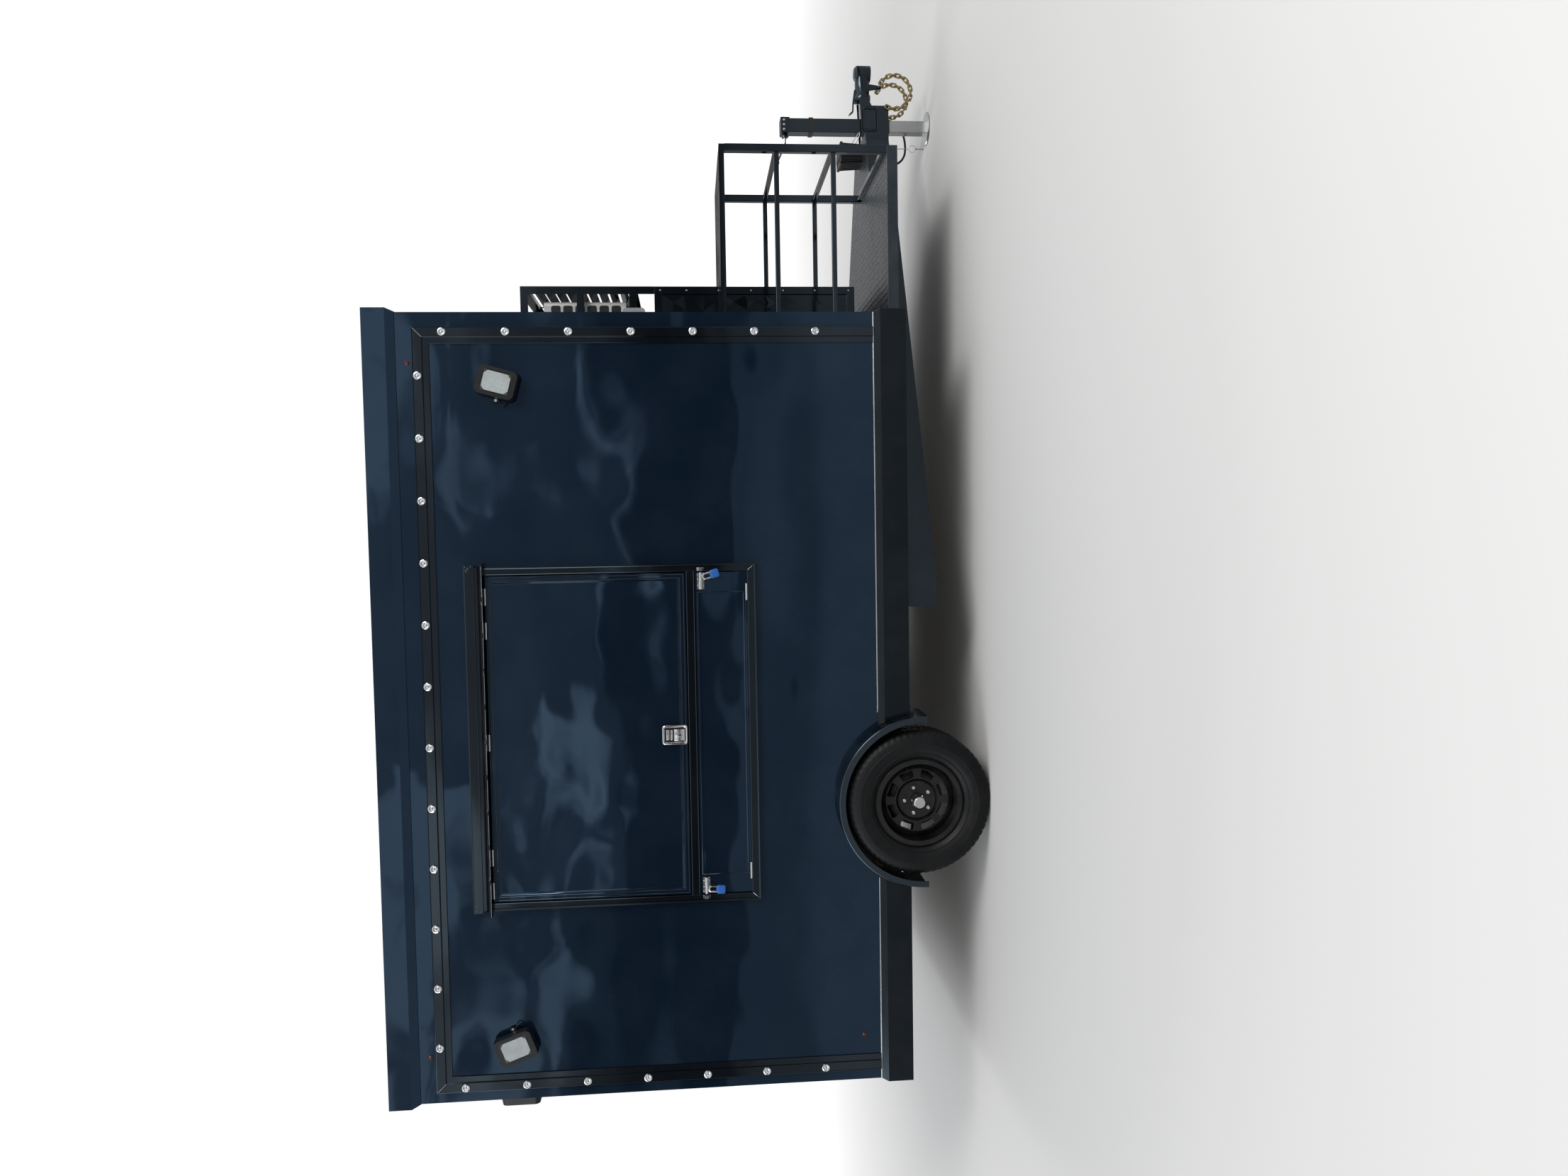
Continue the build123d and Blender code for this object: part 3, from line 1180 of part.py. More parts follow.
def rack_guard():
    """Slanting slats across the front of the rack, on three stiles."""
    front = FRONT_X + RACK_DEPTH - RACK_SHEET - SEAT_GAP
    y = (RACK_RIGHT + RACK_SHEET + SEAT_GAP, RACK_LEFT - RACK_SHEET - SEAT_GAP)
    t = RACK_SHEET / 2
    back = front - SLAT_DEEP
    slat = profile_y([(front, 0), (front, t), (back + t, SLAT_H), (back, SLAT_H)], y)
    first = RACK_SHELF + SLAT_H / 3
    slats = [Pos(0, 0, first + i * GUARD_PITCH) * slat for i in range(GUARD_SLATS)]
    x = (back - t, back + t)
    stiles = [slab(x, (at - SLAT_DEEP / 3, at + SLAT_DEEP / 3), (RACK_SHELF, RACK_TOP - RACK_ANGLE))
              for at in (y[0] + RACK_ANGLE, (y[0] + y[1]) / 2, y[1] - RACK_ANGLE)]
    return joined(slats + stiles)


def fan_grille():
    """Rings, spokes and hub of the fan grille, facing +X about the origin."""
    wire = FAN_WIRE
    gap = (FAN_R - FAN_HUB_R) / FAN_RINGS
    pieces = [rod_x(FAN_HUB_R, (0, wire), 0, 0)]
    for i in range(FAN_RINGS):
        radius = FAN_HUB_R + (i + 1) * gap
        pieces.append(rod_x(radius, (0, wire), 0, 0) - rod_x(radius - wire, (-1, wire + 1), 0, 0))
    spoke = Pos(wire / 2, 0, (FAN_HUB_R + FAN_R) / 2 - wire) * Box(wire, wire, FAN_R - FAN_HUB_R)
    pieces += [Rot(i * 360 / FAN_SPOKES, 0, 0) * spoke for i in range(FAN_SPOKES)]
    return joined(pieces)


def ac_unit():
    """Outdoor unit of the air conditioner, with a fan grille in front and vents at its sides."""
    centre = (RACK_RIGHT + RACK_LEFT) / 2
    x = (FRONT_X + AC_OFF, FRONT_X + AC_OFF + AC_DEPTH)
    y = (centre - AC_WIDTH / 2, centre + AC_WIDTH / 2)
    z = (RACK_SHELF + AC_STAND, RACK_SHELF + AC_STAND + AC_HEIGHT)
    case = slab(x, y, z)
    case = fillet(case.edges().filter_by(Axis.Z), AC_CORNER)
    vent = Rot(90, 0, 0) * extrude(RectangleRounded(VENT_W, VENT_H, VENT_H / 4), FAN_DEEP, both=True)
    first = z[0] + VENT_H
    for side_y in y:
        for i in range(VENTS):
            case -= Pos(x[0] + VENT_W + AC_CORNER / 2, side_y, first + i * VENT_PITCH) * vent
    grille = Pos(x[1], centre - FAN_SHIFT, (z[0] + z[1]) / 2) * fan_grille()
    foot = RACK_ANGLE / 2
    feet = [slab((x[0] + AC_STAND, x[1] - AC_STAND), (at - foot, at + foot), (RACK_SHELF, z[0]))
            for at in (y[0] + VENT_W + foot, y[1] - VENT_W - foot)]
    return joined([case, grille] + feet)


def utility_cabinet():
    """The closed cabinet under the rack, with a pressed panel in each side and two in front."""
    e = RACK_ANGLE
    deep = CABINET_PANEL
    x = (FRONT_X, FRONT_X + RACK_DEPTH)
    z = (CABINET_BOTTOM, CABINET_TOP)
    body = slab(x, (RACK_RIGHT, RACK_LEFT), z)
    panel = tray((x[0] + e, x[1] - e), (z[0] + e, z[1] - e), (0, deep), deep)
    body -= Pos(0, RACK_RIGHT, 0) * panel
    body -= Pos(0, RACK_LEFT, 0) * mirrored(panel)
    middle = (RACK_RIGHT + RACK_LEFT) / 2
    for half in ((RACK_RIGHT + e, middle - e / 4), (middle + e / 4, RACK_LEFT - e)):
        front = tray(half, (z[0] + e, z[1] - e), (0, deep), deep)
        body -= Pos(x[1], 0, 0) * Rot(0, 0, 90) * front
    return body


def power_box():
    """The grey power inlet box on the front wall, with its rounded hinged lid."""
    y = -SIDE_Y + POWER_BOX_IN
    z = FLOOR_TOP + POWER_BOX_RISE
    half = POWER_BOX_W / 2
    back = slab((FRONT_X, FRONT_X + POWER_BOX_BACK), (y - half, y + half), (z, z + POWER_BOX_H))
    back = fillet(back.edges().filter_by(Axis.X), POWER_BOX_BACK / 2)
    lid_z = z + (POWER_BOX_H - POWER_LID_H) / 2
    front = FRONT_X + POWER_BOX_BACK
    half = POWER_LID_W / 2
    lid = slab((front, front + POWER_LID_T), (y - half, y + half), (lid_z, lid_z + POWER_LID_H))
    lid = fillet(lid.edges().filter_by(Axis.Y).sort_by(Axis.X)[-2:], POWER_LID_T / 3)
    return joined([back, lid])


# Tongue hardware
def jack_tube():
    """The jack's outer tube with its collar, bolted cap and bent crank."""
    inner = JACK_TUBE - 2 * JACK_WALL
    under_cap = JACK_TOP - JACK_WALL
    tube = post(JACK_X, 0, (JACK_BOTTOM, JACK_TOP), JACK_TUBE)
    collar = post(JACK_X, 0, (JACK_TOP - JACK_COLLAR, JACK_TOP), JACK_TUBE + 2 * JACK_COLLAR_T)
    collar = fillet(collar.faces().sort_by(Axis.Z)[-1].edges(), TUBE_CORNER)
    body = joined([tube, collar]) - post(JACK_X, 0, (JACK_BOTTOM - 1, under_cap), inner)
    rear = JACK_X - JACK_TUBE / 2 - JACK_COLLAR_T
    axis_z = JACK_TOP - JACK_COLLAR / 2
    gear = rod_x(JACK_COLLAR / 3, (rear - JACK_COLLAR / 3, rear), 0, axis_z)
    end = (rear - CRANK_REACH, CRANK_SIDE, axis_z + CRANK_RISE)
    bend = (rear - JACK_COLLAR, 0, axis_z)
    path = FilletPolyline((rear - JACK_COLLAR / 4, 0, axis_z), bend, end,
                          (end[0], end[1] + JACK_COLLAR, end[2]), radius=2 * CRANK_R)
    rod = sweep(Plane(path @ 0, z_dir=path % 0) * Circle(CRANK_R), path)
    grip = rod_y(GRIP_R, end[0], (end[1] + JACK_COLLAR / 2, end[1] + JACK_COLLAR / 2 + GRIP_LENGTH), end[2])
    return joined([body, gear, rod, grip])


def jack_leg():
    """The drop leg with its dished round foot on the ground."""
    size = JACK_TUBE - 2 * JACK_WALL - 2 * SLIDE_GAP
    leg = post(JACK_X, 0, (JACK_FOOT / 2, JACK_TOP - JACK_LEG_TOP), size)
    rim_r = JACK_FOOT_R - JACK_FOOT / 2
    outline = Polyline((0, 0), (rim_r, 0), (JACK_FOOT_R, JACK_FOOT / 2), (rim_r, JACK_FOOT), (0, JACK_FOOT),
                       close=True)
    foot = revolve(make_face(Plane.XZ * outline), Axis.Z)
    return joined([leg, Pos(JACK_X, 0, 0) * foot])


def coupler():
    """Straight coupler with a downward ball socket, and its latch lever on top."""
    start = NOSE_X + NOSE_LENGTH
    tube = rod_x(COUPLER_R, (start - GUSSET, BALL_X), 0, COUPLER_Z)
    collar = rod_x(COUPLER_R + GUSSET, (start, start + COUPLER_LENGTH / 4), 0, COUPLER_Z)
    top = COUPLER_Z + COUPLER_R + RUN_GAP
    foot = COUPLER_Z - COUPLER_R - SOCKET_LIP
    socket = rod_z(SOCKET_R, BALL_X, 0, (foot, top))
    socket = chamfer(socket.faces().sort_by(Axis.Z)[-1].edges(), SOCKET_CHAMFER)
    pin = chain_pins()[1]
    body = joined([tube, collar, socket, pin, chain_tab(pin)])
    body -= rod_z(BALL_R, BALL_X, 0, (foot - 1, foot + SOCKET_DEPTH))
    base = TONGUE_Z + NOSE_RISE
    lever = [(point_x * LEVER_W + start, point_z * LEVER_W + base) for point_x, point_z in LEVER_POINTS]
    handle = profile_y(lever, (-LEVER_W / 2, LEVER_W / 2))
    return joined([body, handle])


def battery_box():
    """The black battery box, narrower at its foot, with its overhanging lid."""
    centre = NOSE_X - BATTERY_BEHIND + BATTERY_L / 2
    foot = RectangleRounded(BATTERY_L - 2 * BATTERY_TAPER, BATTERY_W - 2 * BATTERY_TAPER, BATTERY_TAPER / 2)
    mouth = RectangleRounded(BATTERY_L - BATTERY_TAPER, BATTERY_W - BATTERY_TAPER, BATTERY_TAPER / 2)
    body = loft([foot, Pos(0, 0, BATTERY_H) * mouth])
    lid = extrude(RectangleRounded(BATTERY_L, BATTERY_W, BATTERY_TAPER), BATTERY_LID)
    lid = fillet(lid.faces().sort_by(Axis.Z)[-1].edges(), BATTERY_LID / 3)
    return Pos(centre, 0, DECK_Z) * joined([body, Pos(0, 0, BATTERY_H) * lid])


# Safety chains
def chain_link():
    """One link lying flat in the XZ plane, with eight-sided ends."""
    outlines = []
    for length, width in ((LINK_HOLE + 2 * LINK_WIRE, LINK_W), (LINK_HOLE, LINK_W - 2 * LINK_WIRE)):
        outlines.append(chamfer(Rectangle(length, width).vertices(), width / 4))
    face = outlines[0] - outlines[1]
    return Rot(90, 0, 0) * extrude(face, LINK_WIRE / 2, both=True)


def chain_steps():
    """Middle and turn of every link along a hanging arc, from the nose forward: (x, z, degrees)."""
    pitch = LINK_HOLE - LINK_SLACK
    turn = CHAIN_SWEEP / CHAIN_LINKS
    heading = -CHAIN_SWEEP / 2 + turn / 2 + CHAIN_LEAN
    x = NOSE_X + NOSE_LENGTH - CHAIN_BACK
    z = TONGUE_Z - TONGUE_H + CHAIN_RISE
    steps = []
    for _ in range(CHAIN_LINKS):
        dx = pitch * cos(radians(heading)) / 2
        dz = pitch * sin(radians(heading)) / 2
        steps.append((x + dx, z + dz, heading))
        x += 2 * dx
        z += 2 * dz
        heading += turn
    return steps


def safety_chain(side):
    """The links of one chain, every second one turned crosswise."""
    y = side * CHAIN_Y
    pieces = []
    for i, (x, z, heading) in enumerate(chain_steps()):
        pieces.append(Pos(x, y, z) * Rot(0, -heading, 0) * Rot(90 * (i % 2), 0, 0) * chain_link())
    return pieces


def chain_pins():
    """The crosswise pins that the end links hang on: one through the nose, one in the coupler's tab."""
    steps = chain_steps()
    reach = LINK_HOLE / 2 - CHAIN_PIN_R - SEAT_GAP
    pins = []
    for (x, z, heading), way in ((steps[0], -1), (steps[-1], 1)):
        at_x = x + way * reach * cos(radians(heading))
        at_z = z + way * reach * sin(radians(heading))
        pins.append(rod_y(CHAIN_PIN_R, at_x, (-CHAIN_PIN_HALF, CHAIN_PIN_HALF), at_z))
    return pins


def chain_tab(pin):
    """The tab under the coupler's tube that carries the forward pin."""
    box = pin.bounding_box()
    x = (box.min.X + box.max.X) / 2
    t = CHAIN_TAB
    foot = box.min.Z - t
    outline = [(x - 3 * t, COUPLER_Z), (x - t, foot), (x + t, foot), (x + 3 * t, COUPLER_Z)]
    return profile_y(outline, (-t / 2, t / 2))


# Cable to the towing vehicle
def cable_line():
    """The cable's middle line: straight runs, each joined to the next by one round bend."""
    places = [Vector(*place) for place in CABLE_PLACES]
    edges = []
    radii = []
    last = places[0]
    for before, at, after in zip(places, places[1:], places[2:]):
        arrive = (at - before).normalized()
        leave = (after - at).normalized()
        reach = CABLE_SHARE * min((at - before).length, (after - at).length)
        start, end = at - arrive * reach, at + leave * reach
        edges += [Line(last, start), TangentArc(start, end, tangent=arrive)]
        radii.append(reach / tan(radians(arrive.get_angle(leave) / 2)))
        last = end
    edges.append(Line(last, places[-1]))
    return Wire(edges), radii


def trailer_cable():
    """The cable from its gland under the tongue, hanging down and up again to its plug."""
    line, radii = cable_line()
    tube = sweep(Plane(line @ 0, z_dir=line % 0) * Circle(CABLE_R), line)
    print("cable bends", [round(radius) for radius in radii])
    print("cable volume", round(tube.volume), "from its length", round(pi * CABLE_R ** 2 * line.length))
    return tube


def cable_plug():
    """The round plug over the cable's end, with a tapered neck and a shoulder."""
    x, y, z = CABLE_PLACES[-1]
    shoulder = PLUG_NECK + PLUG_LENGTH - CUP_LENGTH
    end = PLUG_NECK + PLUG_LENGTH
    wide = PLUG_R + PLUG_STEP
    slim = PLUG_R - PLUG_STEP
    outline = [(0, 0), (PLUG_NECK_R, 0), (slim, PLUG_NECK), (wide, PLUG_NECK + PLUG_STEP), (wide, shoulder),
               (PLUG_R, shoulder), (PLUG_R, end - PLUG_STEP), (slim, end), (0, end)]
    return Pos(x, y, z) * revolve(make_face(Plane.XZ * Polyline(*outline, close=True)), Axis.Z)


def cable_gland():
    """The rubber gland that the cable comes out of, under the tongue."""
    x, y, z = CABLE_PLACES[0]
    top = TONGUE_Z - TONGUE_H
    return Pos(x, y, z) * loft([Circle(GLAND_R - PLUG_STEP), Pos(0, 0, top - z) * Circle(GLAND_R)])


def plug_holder():
    """The cup for the plug, on a strap that goes round the jack's tube."""
    x, y, z = CABLE_PLACES[-1]
    foot = z + PLUG_NECK + PLUG_LENGTH - CUP_LENGTH
    bore = PLUG_R + SEAT_GAP
    top = foot + CUP_LENGTH
    cup = rod_z(bore + CUP_WALL, x, y, (foot, top)) - rod_z(bore, x, y, (foot - 1, top + 1))
    level = ((foot + top - CLAMP_H) / 2, (foot + top + CLAMP_H) / 2)
    strap = post(JACK_X, 0, level, JACK_TUBE + 2 * CLAMP_SHEET)
    arm = slab((x - CLAMP_H / 2, x + CLAMP_H / 2), (JACK_TUBE / 2, y - bore), level)
    return joined([strap, arm, cup]) - post(JACK_X, 0, (level[0] - 1, level[1] + 1), JACK_TUBE)


# Rear lamps
def tail_lights():
    pieces = []
    for side in SIDES.values():
        middle = Pos(side * (SIDE_Y - LAMP_IN), FLOOR_TOP + LAMP_RISE + LAMP_H / 2)
        outline = middle * SlotOverall(LAMP_W, LAMP_H)
        lamp = Pos(REAR_X, 0, 0) * extrude(Plane.YZ * outline, -LAMP_T)
        pieces.append(chamfer(lamp.faces().sort_by(Axis.X)[0].edges(), LAMP_T / 4))
    return pieces


def plate_bracket():
    """The blank number plate on its bracket, low on the rear wall."""
    y = -DOOR_W / 2 - BRACKET_IN
    z = FLOOR_TOP + BRACKET_RISE + BRACKET_H / 2
    face = Pos(y, z) * RectangleRounded(BRACKET_W, BRACKET_H, BRACKET_T)
    for end in (-1, 1):
        face -= Pos(y + end * PLATE_HOLES / 2, z + BRACKET_H / 2 - 2 * BRACKET_T) * Circle(PLATE_HOLE_R)
    return Pos(REAR_X, 0, 0) * extrude(Plane.YZ * face, -BRACKET_T)


# Write every node
save(group(frame_rails()), "frame_rails")
save(group(cross_members()), "cross_members")
save(tongue_frame(), "tongue_frame")
save(axle_beam(), "axle_beam")
save(group([leaf_spring(s) for s in SIDES.values()]), "leaf_springs")
save(floor_deck(), "floor_deck")
save(side_wall(-1), "wall_right")
save(side_wall(1), "wall_left")
save(front_wall(), "wall_front")
save(rear_wall(), "wall_rear")
save(roof_panel(), "roof_panel")
save(roof_cap(), "roof_cap")
save(side_skirt(), "side_skirt")
save(group([light_channel(s) for s in SIDES.values()]), "light_channel")
save(group(bullet_lights(-1) + bullet_lights(1)), "bullet_lights")
save(group(marker_lights(-1) + marker_lights(1)), "marker_lights")
save(window_frame(), "window_frame")
save(hatch_door(), "hatch_door")
save(paddle_latch(), "paddle_latch")
save(serving_shelf(), "serving_shelf")
save(group(shelf_bolts()), "shelf_bolts")
save(group(bolt_keepers()), "bolt_keepers")
save(group(padlocks()), "padlocks")
save(group([place * flood_housing() for place in flood_places()]), "floodlights")
save(group([place * flood_lens() for place in flood_places()]), "flood_lenses")
save(group([fender(s) for s in SIDES.values()]), "fenders")
save(group([wheel_well(s) for s in SIDES.values()]), "wheel_wells")
for name, side in SIDES.items():
    save(place_wheel(tyre(), side), f"tyre_{name}")
    save(place_wheel(rim(), side), f"rim_{name}")
    save(place_wheel(hub(), side), f"hub_{name}")
    save(group([place_wheel(piece, side) for piece in hub_cap()]), f"hub_cap_{name}")
save(porch_deck(), "porch_deck")
save(cage_rails(), "cage_rails")
save(cage_lid(), "cage_lid")
save(rack_frame(), "rack_frame")
save(rack_guard(), "rack_guard")
save(ac_unit(), "ac_unit")
save(utility_cabinet(), "utility_cabinet")
save(power_box(), "power_box")
save(jack_tube(), "jack_tube")
save(jack_leg(), "jack_leg")
save(coupler(), "coupler")
save(group(safety_chain(-1) + safety_chain(1)), "safety_chains")
save(battery_box(), "battery_box")
save(trailer_cable(), "trailer_cable")
save(cable_plug(), "cable_plug")
save(group([cable_gland(), plug_holder()]), "cable_fittings")
save(door_frame(), "door_frame")
save(entry_door(), "entry_door")
save(door_handle(), "door_handle")
save(group(tail_lights()), "tail_lights")
save(plate_bracket(), "plate_bracket")
print("origin x", ORIGIN_X)
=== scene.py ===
from math import cos, pi, radians, sin, tan

import bmesh
import bpy
from mathutils import Matrix, Vector, noise


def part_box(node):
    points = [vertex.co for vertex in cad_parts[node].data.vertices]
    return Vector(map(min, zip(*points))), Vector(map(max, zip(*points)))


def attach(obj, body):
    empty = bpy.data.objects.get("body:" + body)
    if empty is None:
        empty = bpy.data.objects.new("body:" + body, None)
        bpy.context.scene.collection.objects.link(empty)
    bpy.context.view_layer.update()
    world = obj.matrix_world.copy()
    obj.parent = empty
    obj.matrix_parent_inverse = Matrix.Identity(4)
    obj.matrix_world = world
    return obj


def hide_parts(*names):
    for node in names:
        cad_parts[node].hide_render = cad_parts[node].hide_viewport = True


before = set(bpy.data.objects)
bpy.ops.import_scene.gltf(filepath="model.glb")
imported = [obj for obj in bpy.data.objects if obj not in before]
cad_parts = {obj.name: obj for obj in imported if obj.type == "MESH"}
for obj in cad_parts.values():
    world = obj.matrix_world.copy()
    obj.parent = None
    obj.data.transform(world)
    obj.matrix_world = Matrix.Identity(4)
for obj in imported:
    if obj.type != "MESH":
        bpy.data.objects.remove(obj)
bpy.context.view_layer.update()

span = {name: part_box(name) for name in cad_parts}
LOW, HIGH = 0, 1
SIDES = {"right": -1, "left": 1}
X_AXIS, Y_AXIS, Z_AXIS = Vector((1, 0, 0)), Vector((0, 1, 0)), Vector((0, 0, 1))

# Photograph and camera, measured against a box of 12 by 8 feet
PHOTO_WIDTH = 2212
FOCAL_PIXELS = 1567.0
SENSOR = 36.0
CAMERA_PLACE = (0.050, -6.399, 1.391)
CAMERA_YAW = radians(-3.064)
CAMERA_PITCH = radians(-4.713)
CAMERA_ROLL = radians(-1.197)

# Places read off the solids
WALL_Y = -span["wall_right"][LOW].y
REAR_X = span["wall_right"][LOW].x
FRONT_X = span["wall_right"][HIGH].x
FOOT_Z = span["side_skirt"][HIGH].z
CAP_Z = span["roof_cap"][LOW].z
ROOF_Z = span["roof_cap"][HIGH].z
CHANNEL = span["light_channel"]
WINDOW = span["window_frame"]
HATCH = span["hatch_door"]
SHELF = span["serving_shelf"]
DECK = span["porch_deck"]
AXLE_X = (span["tyre_right"][LOW].x + span["tyre_right"][HIGH].x) / 2
TYRE_R = (span["tyre_right"][HIGH].z - span["tyre_right"][LOW].z) / 2


class Bench:
    """Adds and joins the nodes of one material or one group."""

    def __init__(self, tree):
        self.nodes = tree.nodes
        self.links = tree.links

    def feed(self, socket, value):
        if isinstance(value, bpy.types.NodeSocket):
            self.links.new(value, socket)
        else:
            socket.default_value = value

    def add(self, kind, feeds=None, **settings):
        node = self.nodes.new(kind)
        for key, value in settings.items():
            setattr(node, key, value)
        for key, value in (feeds or {}).items():
            self.feed(node.inputs[key], value)
        return node

    def math(self, operation, first, second=0.0, clamp=False):
        feeds = {0: first, 1: second}
        return self.add("ShaderNodeMath", feeds, operation=operation, use_clamp=clamp).outputs[0]

    def mapped(self, source, scale):
        return self.add("ShaderNodeMapping", {"Vector": source, "Scale": scale}).outputs[0]

    def noise(self, place, scale, detail=2.0, rough=0.5):
        feeds = {"Vector": place, "Scale": scale, "Detail": detail, "Roughness": rough}
        return self.add("ShaderNodeTexNoise", feeds).outputs["Fac"]

    def ramp(self, value, low, high):
        feeds = {"Value": value, "From Min": low, "From Max": high}
        return self.add("ShaderNodeMapRange", feeds).outputs["Result"]

    def blend(self, share, first, second):
        node = self.add("ShaderNodeMix", data_type="RGBA")
        self.feed(node.inputs["Factor"], share)
        self.feed(node.inputs["A"], first)
        self.feed(node.inputs["B"], second)
        return node.outputs["Result"]

    def group(self, tree, **feeds):
        node = self.add("ShaderNodeGroup", node_tree=tree)
        for label, value in feeds.items():
            self.feed(node.inputs[label.replace("_", " ")], value)
        return node.outputs


def effect(name, inputs, outputs, build):
    """A shader node group with named values in and named masks or heights out."""
    group = bpy.data.node_groups.new(name, "ShaderNodeTree")
    for label, default in inputs.items():
        socket = group.interface.new_socket(label, in_out="INPUT", socket_type="NodeSocketFloat")
        socket.default_value = default
    for label in outputs:
        group.interface.new_socket(label, in_out="OUTPUT", socket_type="NodeSocketFloat")
    bench = Bench(group)
    start = bench.add("NodeGroupInput").outputs
    end = bench.add("NodeGroupOutput").inputs
    place = bench.add("ShaderNodeTexCoord").outputs
    for label, value in build(bench, start, place).items():
        bench.feed(end[label], value)
    return group


def draw_sheet_waves(bench, start, place):
    """Slow waves of thin sheet between its fixings."""
    wide = bench.noise(place["Object"], start["Scale"], 1.0)
    long = bench.noise(bench.mapped(place["Object"], (0.5, 1.0, 2.2)), start["Scale"], 0.0)
    short = bench.noise(bench.mapped(place["Object"], (3.1, 3.1, 3.9)), start["Scale"], 0.0)
    total = bench.math("ADD", bench.math("ADD", wide, long), bench.math("MULTIPLY", short, 0.22))
    return {"Height": bench.math("MULTIPLY", total, start["Depth"])}


def draw_paint_grain(bench, start, place):
    """Fine orange peel."""
    grain = bench.noise(place["Object"], start["Scale"], 2.0)
    return {"Height": bench.math("MULTIPLY", grain, start["Depth"])}


def draw_road_dust(bench, start, place):
    """Dust that thins out upward from the foot, and lies on what faces up."""
    height = bench.add("ShaderNodeSeparateXYZ", {0: place["Object"]}).outputs["Z"]
    top = bench.math("ADD", start["Foot"], start["Reach"])
    fall = bench.math("DIVIDE", bench.math("SUBTRACT", top, height), start["Reach"], clamp=True)
    patches = bench.ramp(bench.noise(place["Object"], 7.0, 6.0, 0.62), 0.32, 0.72)
    splash = bench.math("MULTIPLY", bench.math("MULTIPLY", fall, patches), start["Amount"])
    upward = bench.add("ShaderNodeSeparateXYZ", {0: place["Normal"]}).outputs["Z"]
    lying = bench.ramp(upward, 0.5, 1.0)
    lying = bench.math("MULTIPLY", bench.math("MULTIPLY", lying, patches), start["On top"])
    return {"Mask": bench.math("MAXIMUM", splash, lying)}


def draw_wipe_streaks(bench, start, place):
    """Long fine streaks along X, as a cloth or a brush leaves them."""
    drawn = bench.mapped(place["Object"], (1.0, 18.0, 40.0))
    fine = bench.noise(drawn, start["Scale"], 4.0, 0.7)
    return {"Mask": bench.ramp(fine, 0.35, 0.65)}


def draw_rub_marks(bench, start, place):
    """Soft cloudy patches where a surface was handled."""
    cloud = bench.noise(place["Object"], start["Scale"], 5.0, 0.6)
    return {"Mask": bench.ramp(cloud, 0.4, 0.7)}


sheet_waves = effect("sheet waves", {"Scale": 2.0, "Depth": 1.0}, ["Height"], draw_sheet_waves)
paint_grain = effect("paint grain", {"Scale": 500.0, "Depth": 1.0}, ["Height"], draw_paint_grain)
road_dust = effect("road dust", {"Foot": 0.0, "Reach": 1.0, "Amount": 0.3, "On top": 0.2}, ["Mask"],
                   draw_road_dust)
wipe_streaks = effect("wipe streaks", {"Scale": 6.0}, ["Mask"], draw_wipe_streaks)
rub_marks = effect("rub marks", {"Scale": 5.0}, ["Mask"], draw_rub_marks)

DUST = (0.23, 0.21, 0.18, 1.0)
DUST_FOOT = 0.2                         # below this height the dust is thickest,
DUST_REACH = 0.9                        # and this far above it there is none
DUST_ROUGH = 0.45                       # what a full layer of dust adds to the roughness
RUBBED_SHARE = 0.5                      # how far handled patches go towards the faded colour
RUBBED_ROUGH = 0.03
FADED_GAIN, FADED_LIFT = 1.35, 0.004    # faded colour: times this, plus this
RELIEF_UNIT = 0.001                     # relief is given in millimetres
LENS_IOR = 1.46


def new_material(name):
    """A material and the bench for its nodes."""
    material = bpy.data.materials.new(name)
    material.use_nodes = True
    return material, Bench(material.node_tree)


def new_finish(name):
    """A material of a slot, its bench and the inputs of its Principled shader."""
    material, bench = new_material(name)
    return material, bench, bench.nodes["Principled BSDF"].inputs


def add_relief(bench, shader, relief, strength=1.0):
    """Feeds a height to the shader's normal."""
    feeds = {"Strength": strength, "Distance": RELIEF_UNIT, "Height": relief}
    bench.feed(shader["Normal"], bench.add("ShaderNodeBump", feeds).outputs["Normal"])


def coated(name, colour, rough, waves=0.0, wave_scale=2.0, grain=0.15, dust=0.1, on_top=0.2,
           streaks=0.0, metallic=0.0, specular=0.5, grain_scale=500.0, gloss_tint=(1.0, 1.0, 1.0)):
    """A painted, powder-coated or moulded surface with its dust, wipe marks and relief."""
    material, bench, shader = new_finish(name)
    paint = (*colour, 1.0)
    faded = tuple(min(1.0, channel * FADED_GAIN + FADED_LIFT) for channel in colour) + (1.0,)
    mask = bench.group(road_dust, Foot=DUST_FOOT, Reach=DUST_REACH, Amount=dust, On_top=on_top)["Mask"]
    rubbed = bench.group(rub_marks, Scale=3.5)["Mask"]
    worn = bench.blend(bench.math("MULTIPLY", rubbed, RUBBED_SHARE), paint, faded)
    bench.feed(shader["Base Color"], bench.blend(mask, worn, DUST))
    uneven = bench.math("MULTIPLY", rubbed, RUBBED_ROUGH)
    if streaks:
        lines = bench.group(wipe_streaks, Scale=5.0)["Mask"]
        uneven = bench.math("ADD", uneven, bench.math("MULTIPLY", lines, streaks))
    dulled = bench.math("ADD", uneven, bench.math("MULTIPLY", mask, DUST_ROUGH))
    bench.feed(shader["Roughness"], bench.math("ADD", dulled, rough, clamp=True))
    relief = bench.group(paint_grain, Scale=grain_scale, Depth=grain)["Height"]
    if waves:
        swell = bench.group(sheet_waves, Scale=wave_scale, Depth=waves)["Height"]
        relief = bench.math("ADD", relief, swell)
    add_relief(bench, shader, relief)
    bench.feed(shader["Metallic"], metallic)
    bench.feed(shader["Specular IOR Level"], specular)
    bench.feed(shader["Specular Tint"], (*gloss_tint, 1.0))
    return material


def bare_metal(name, colour, rough, streaks=0.12, grain=0.1):
    """Chrome, zinc or plain steel."""
    return coated(name, colour, rough, grain=grain, dust=0.05, on_top=0.1, streaks=streaks,
                  metallic=1.0)


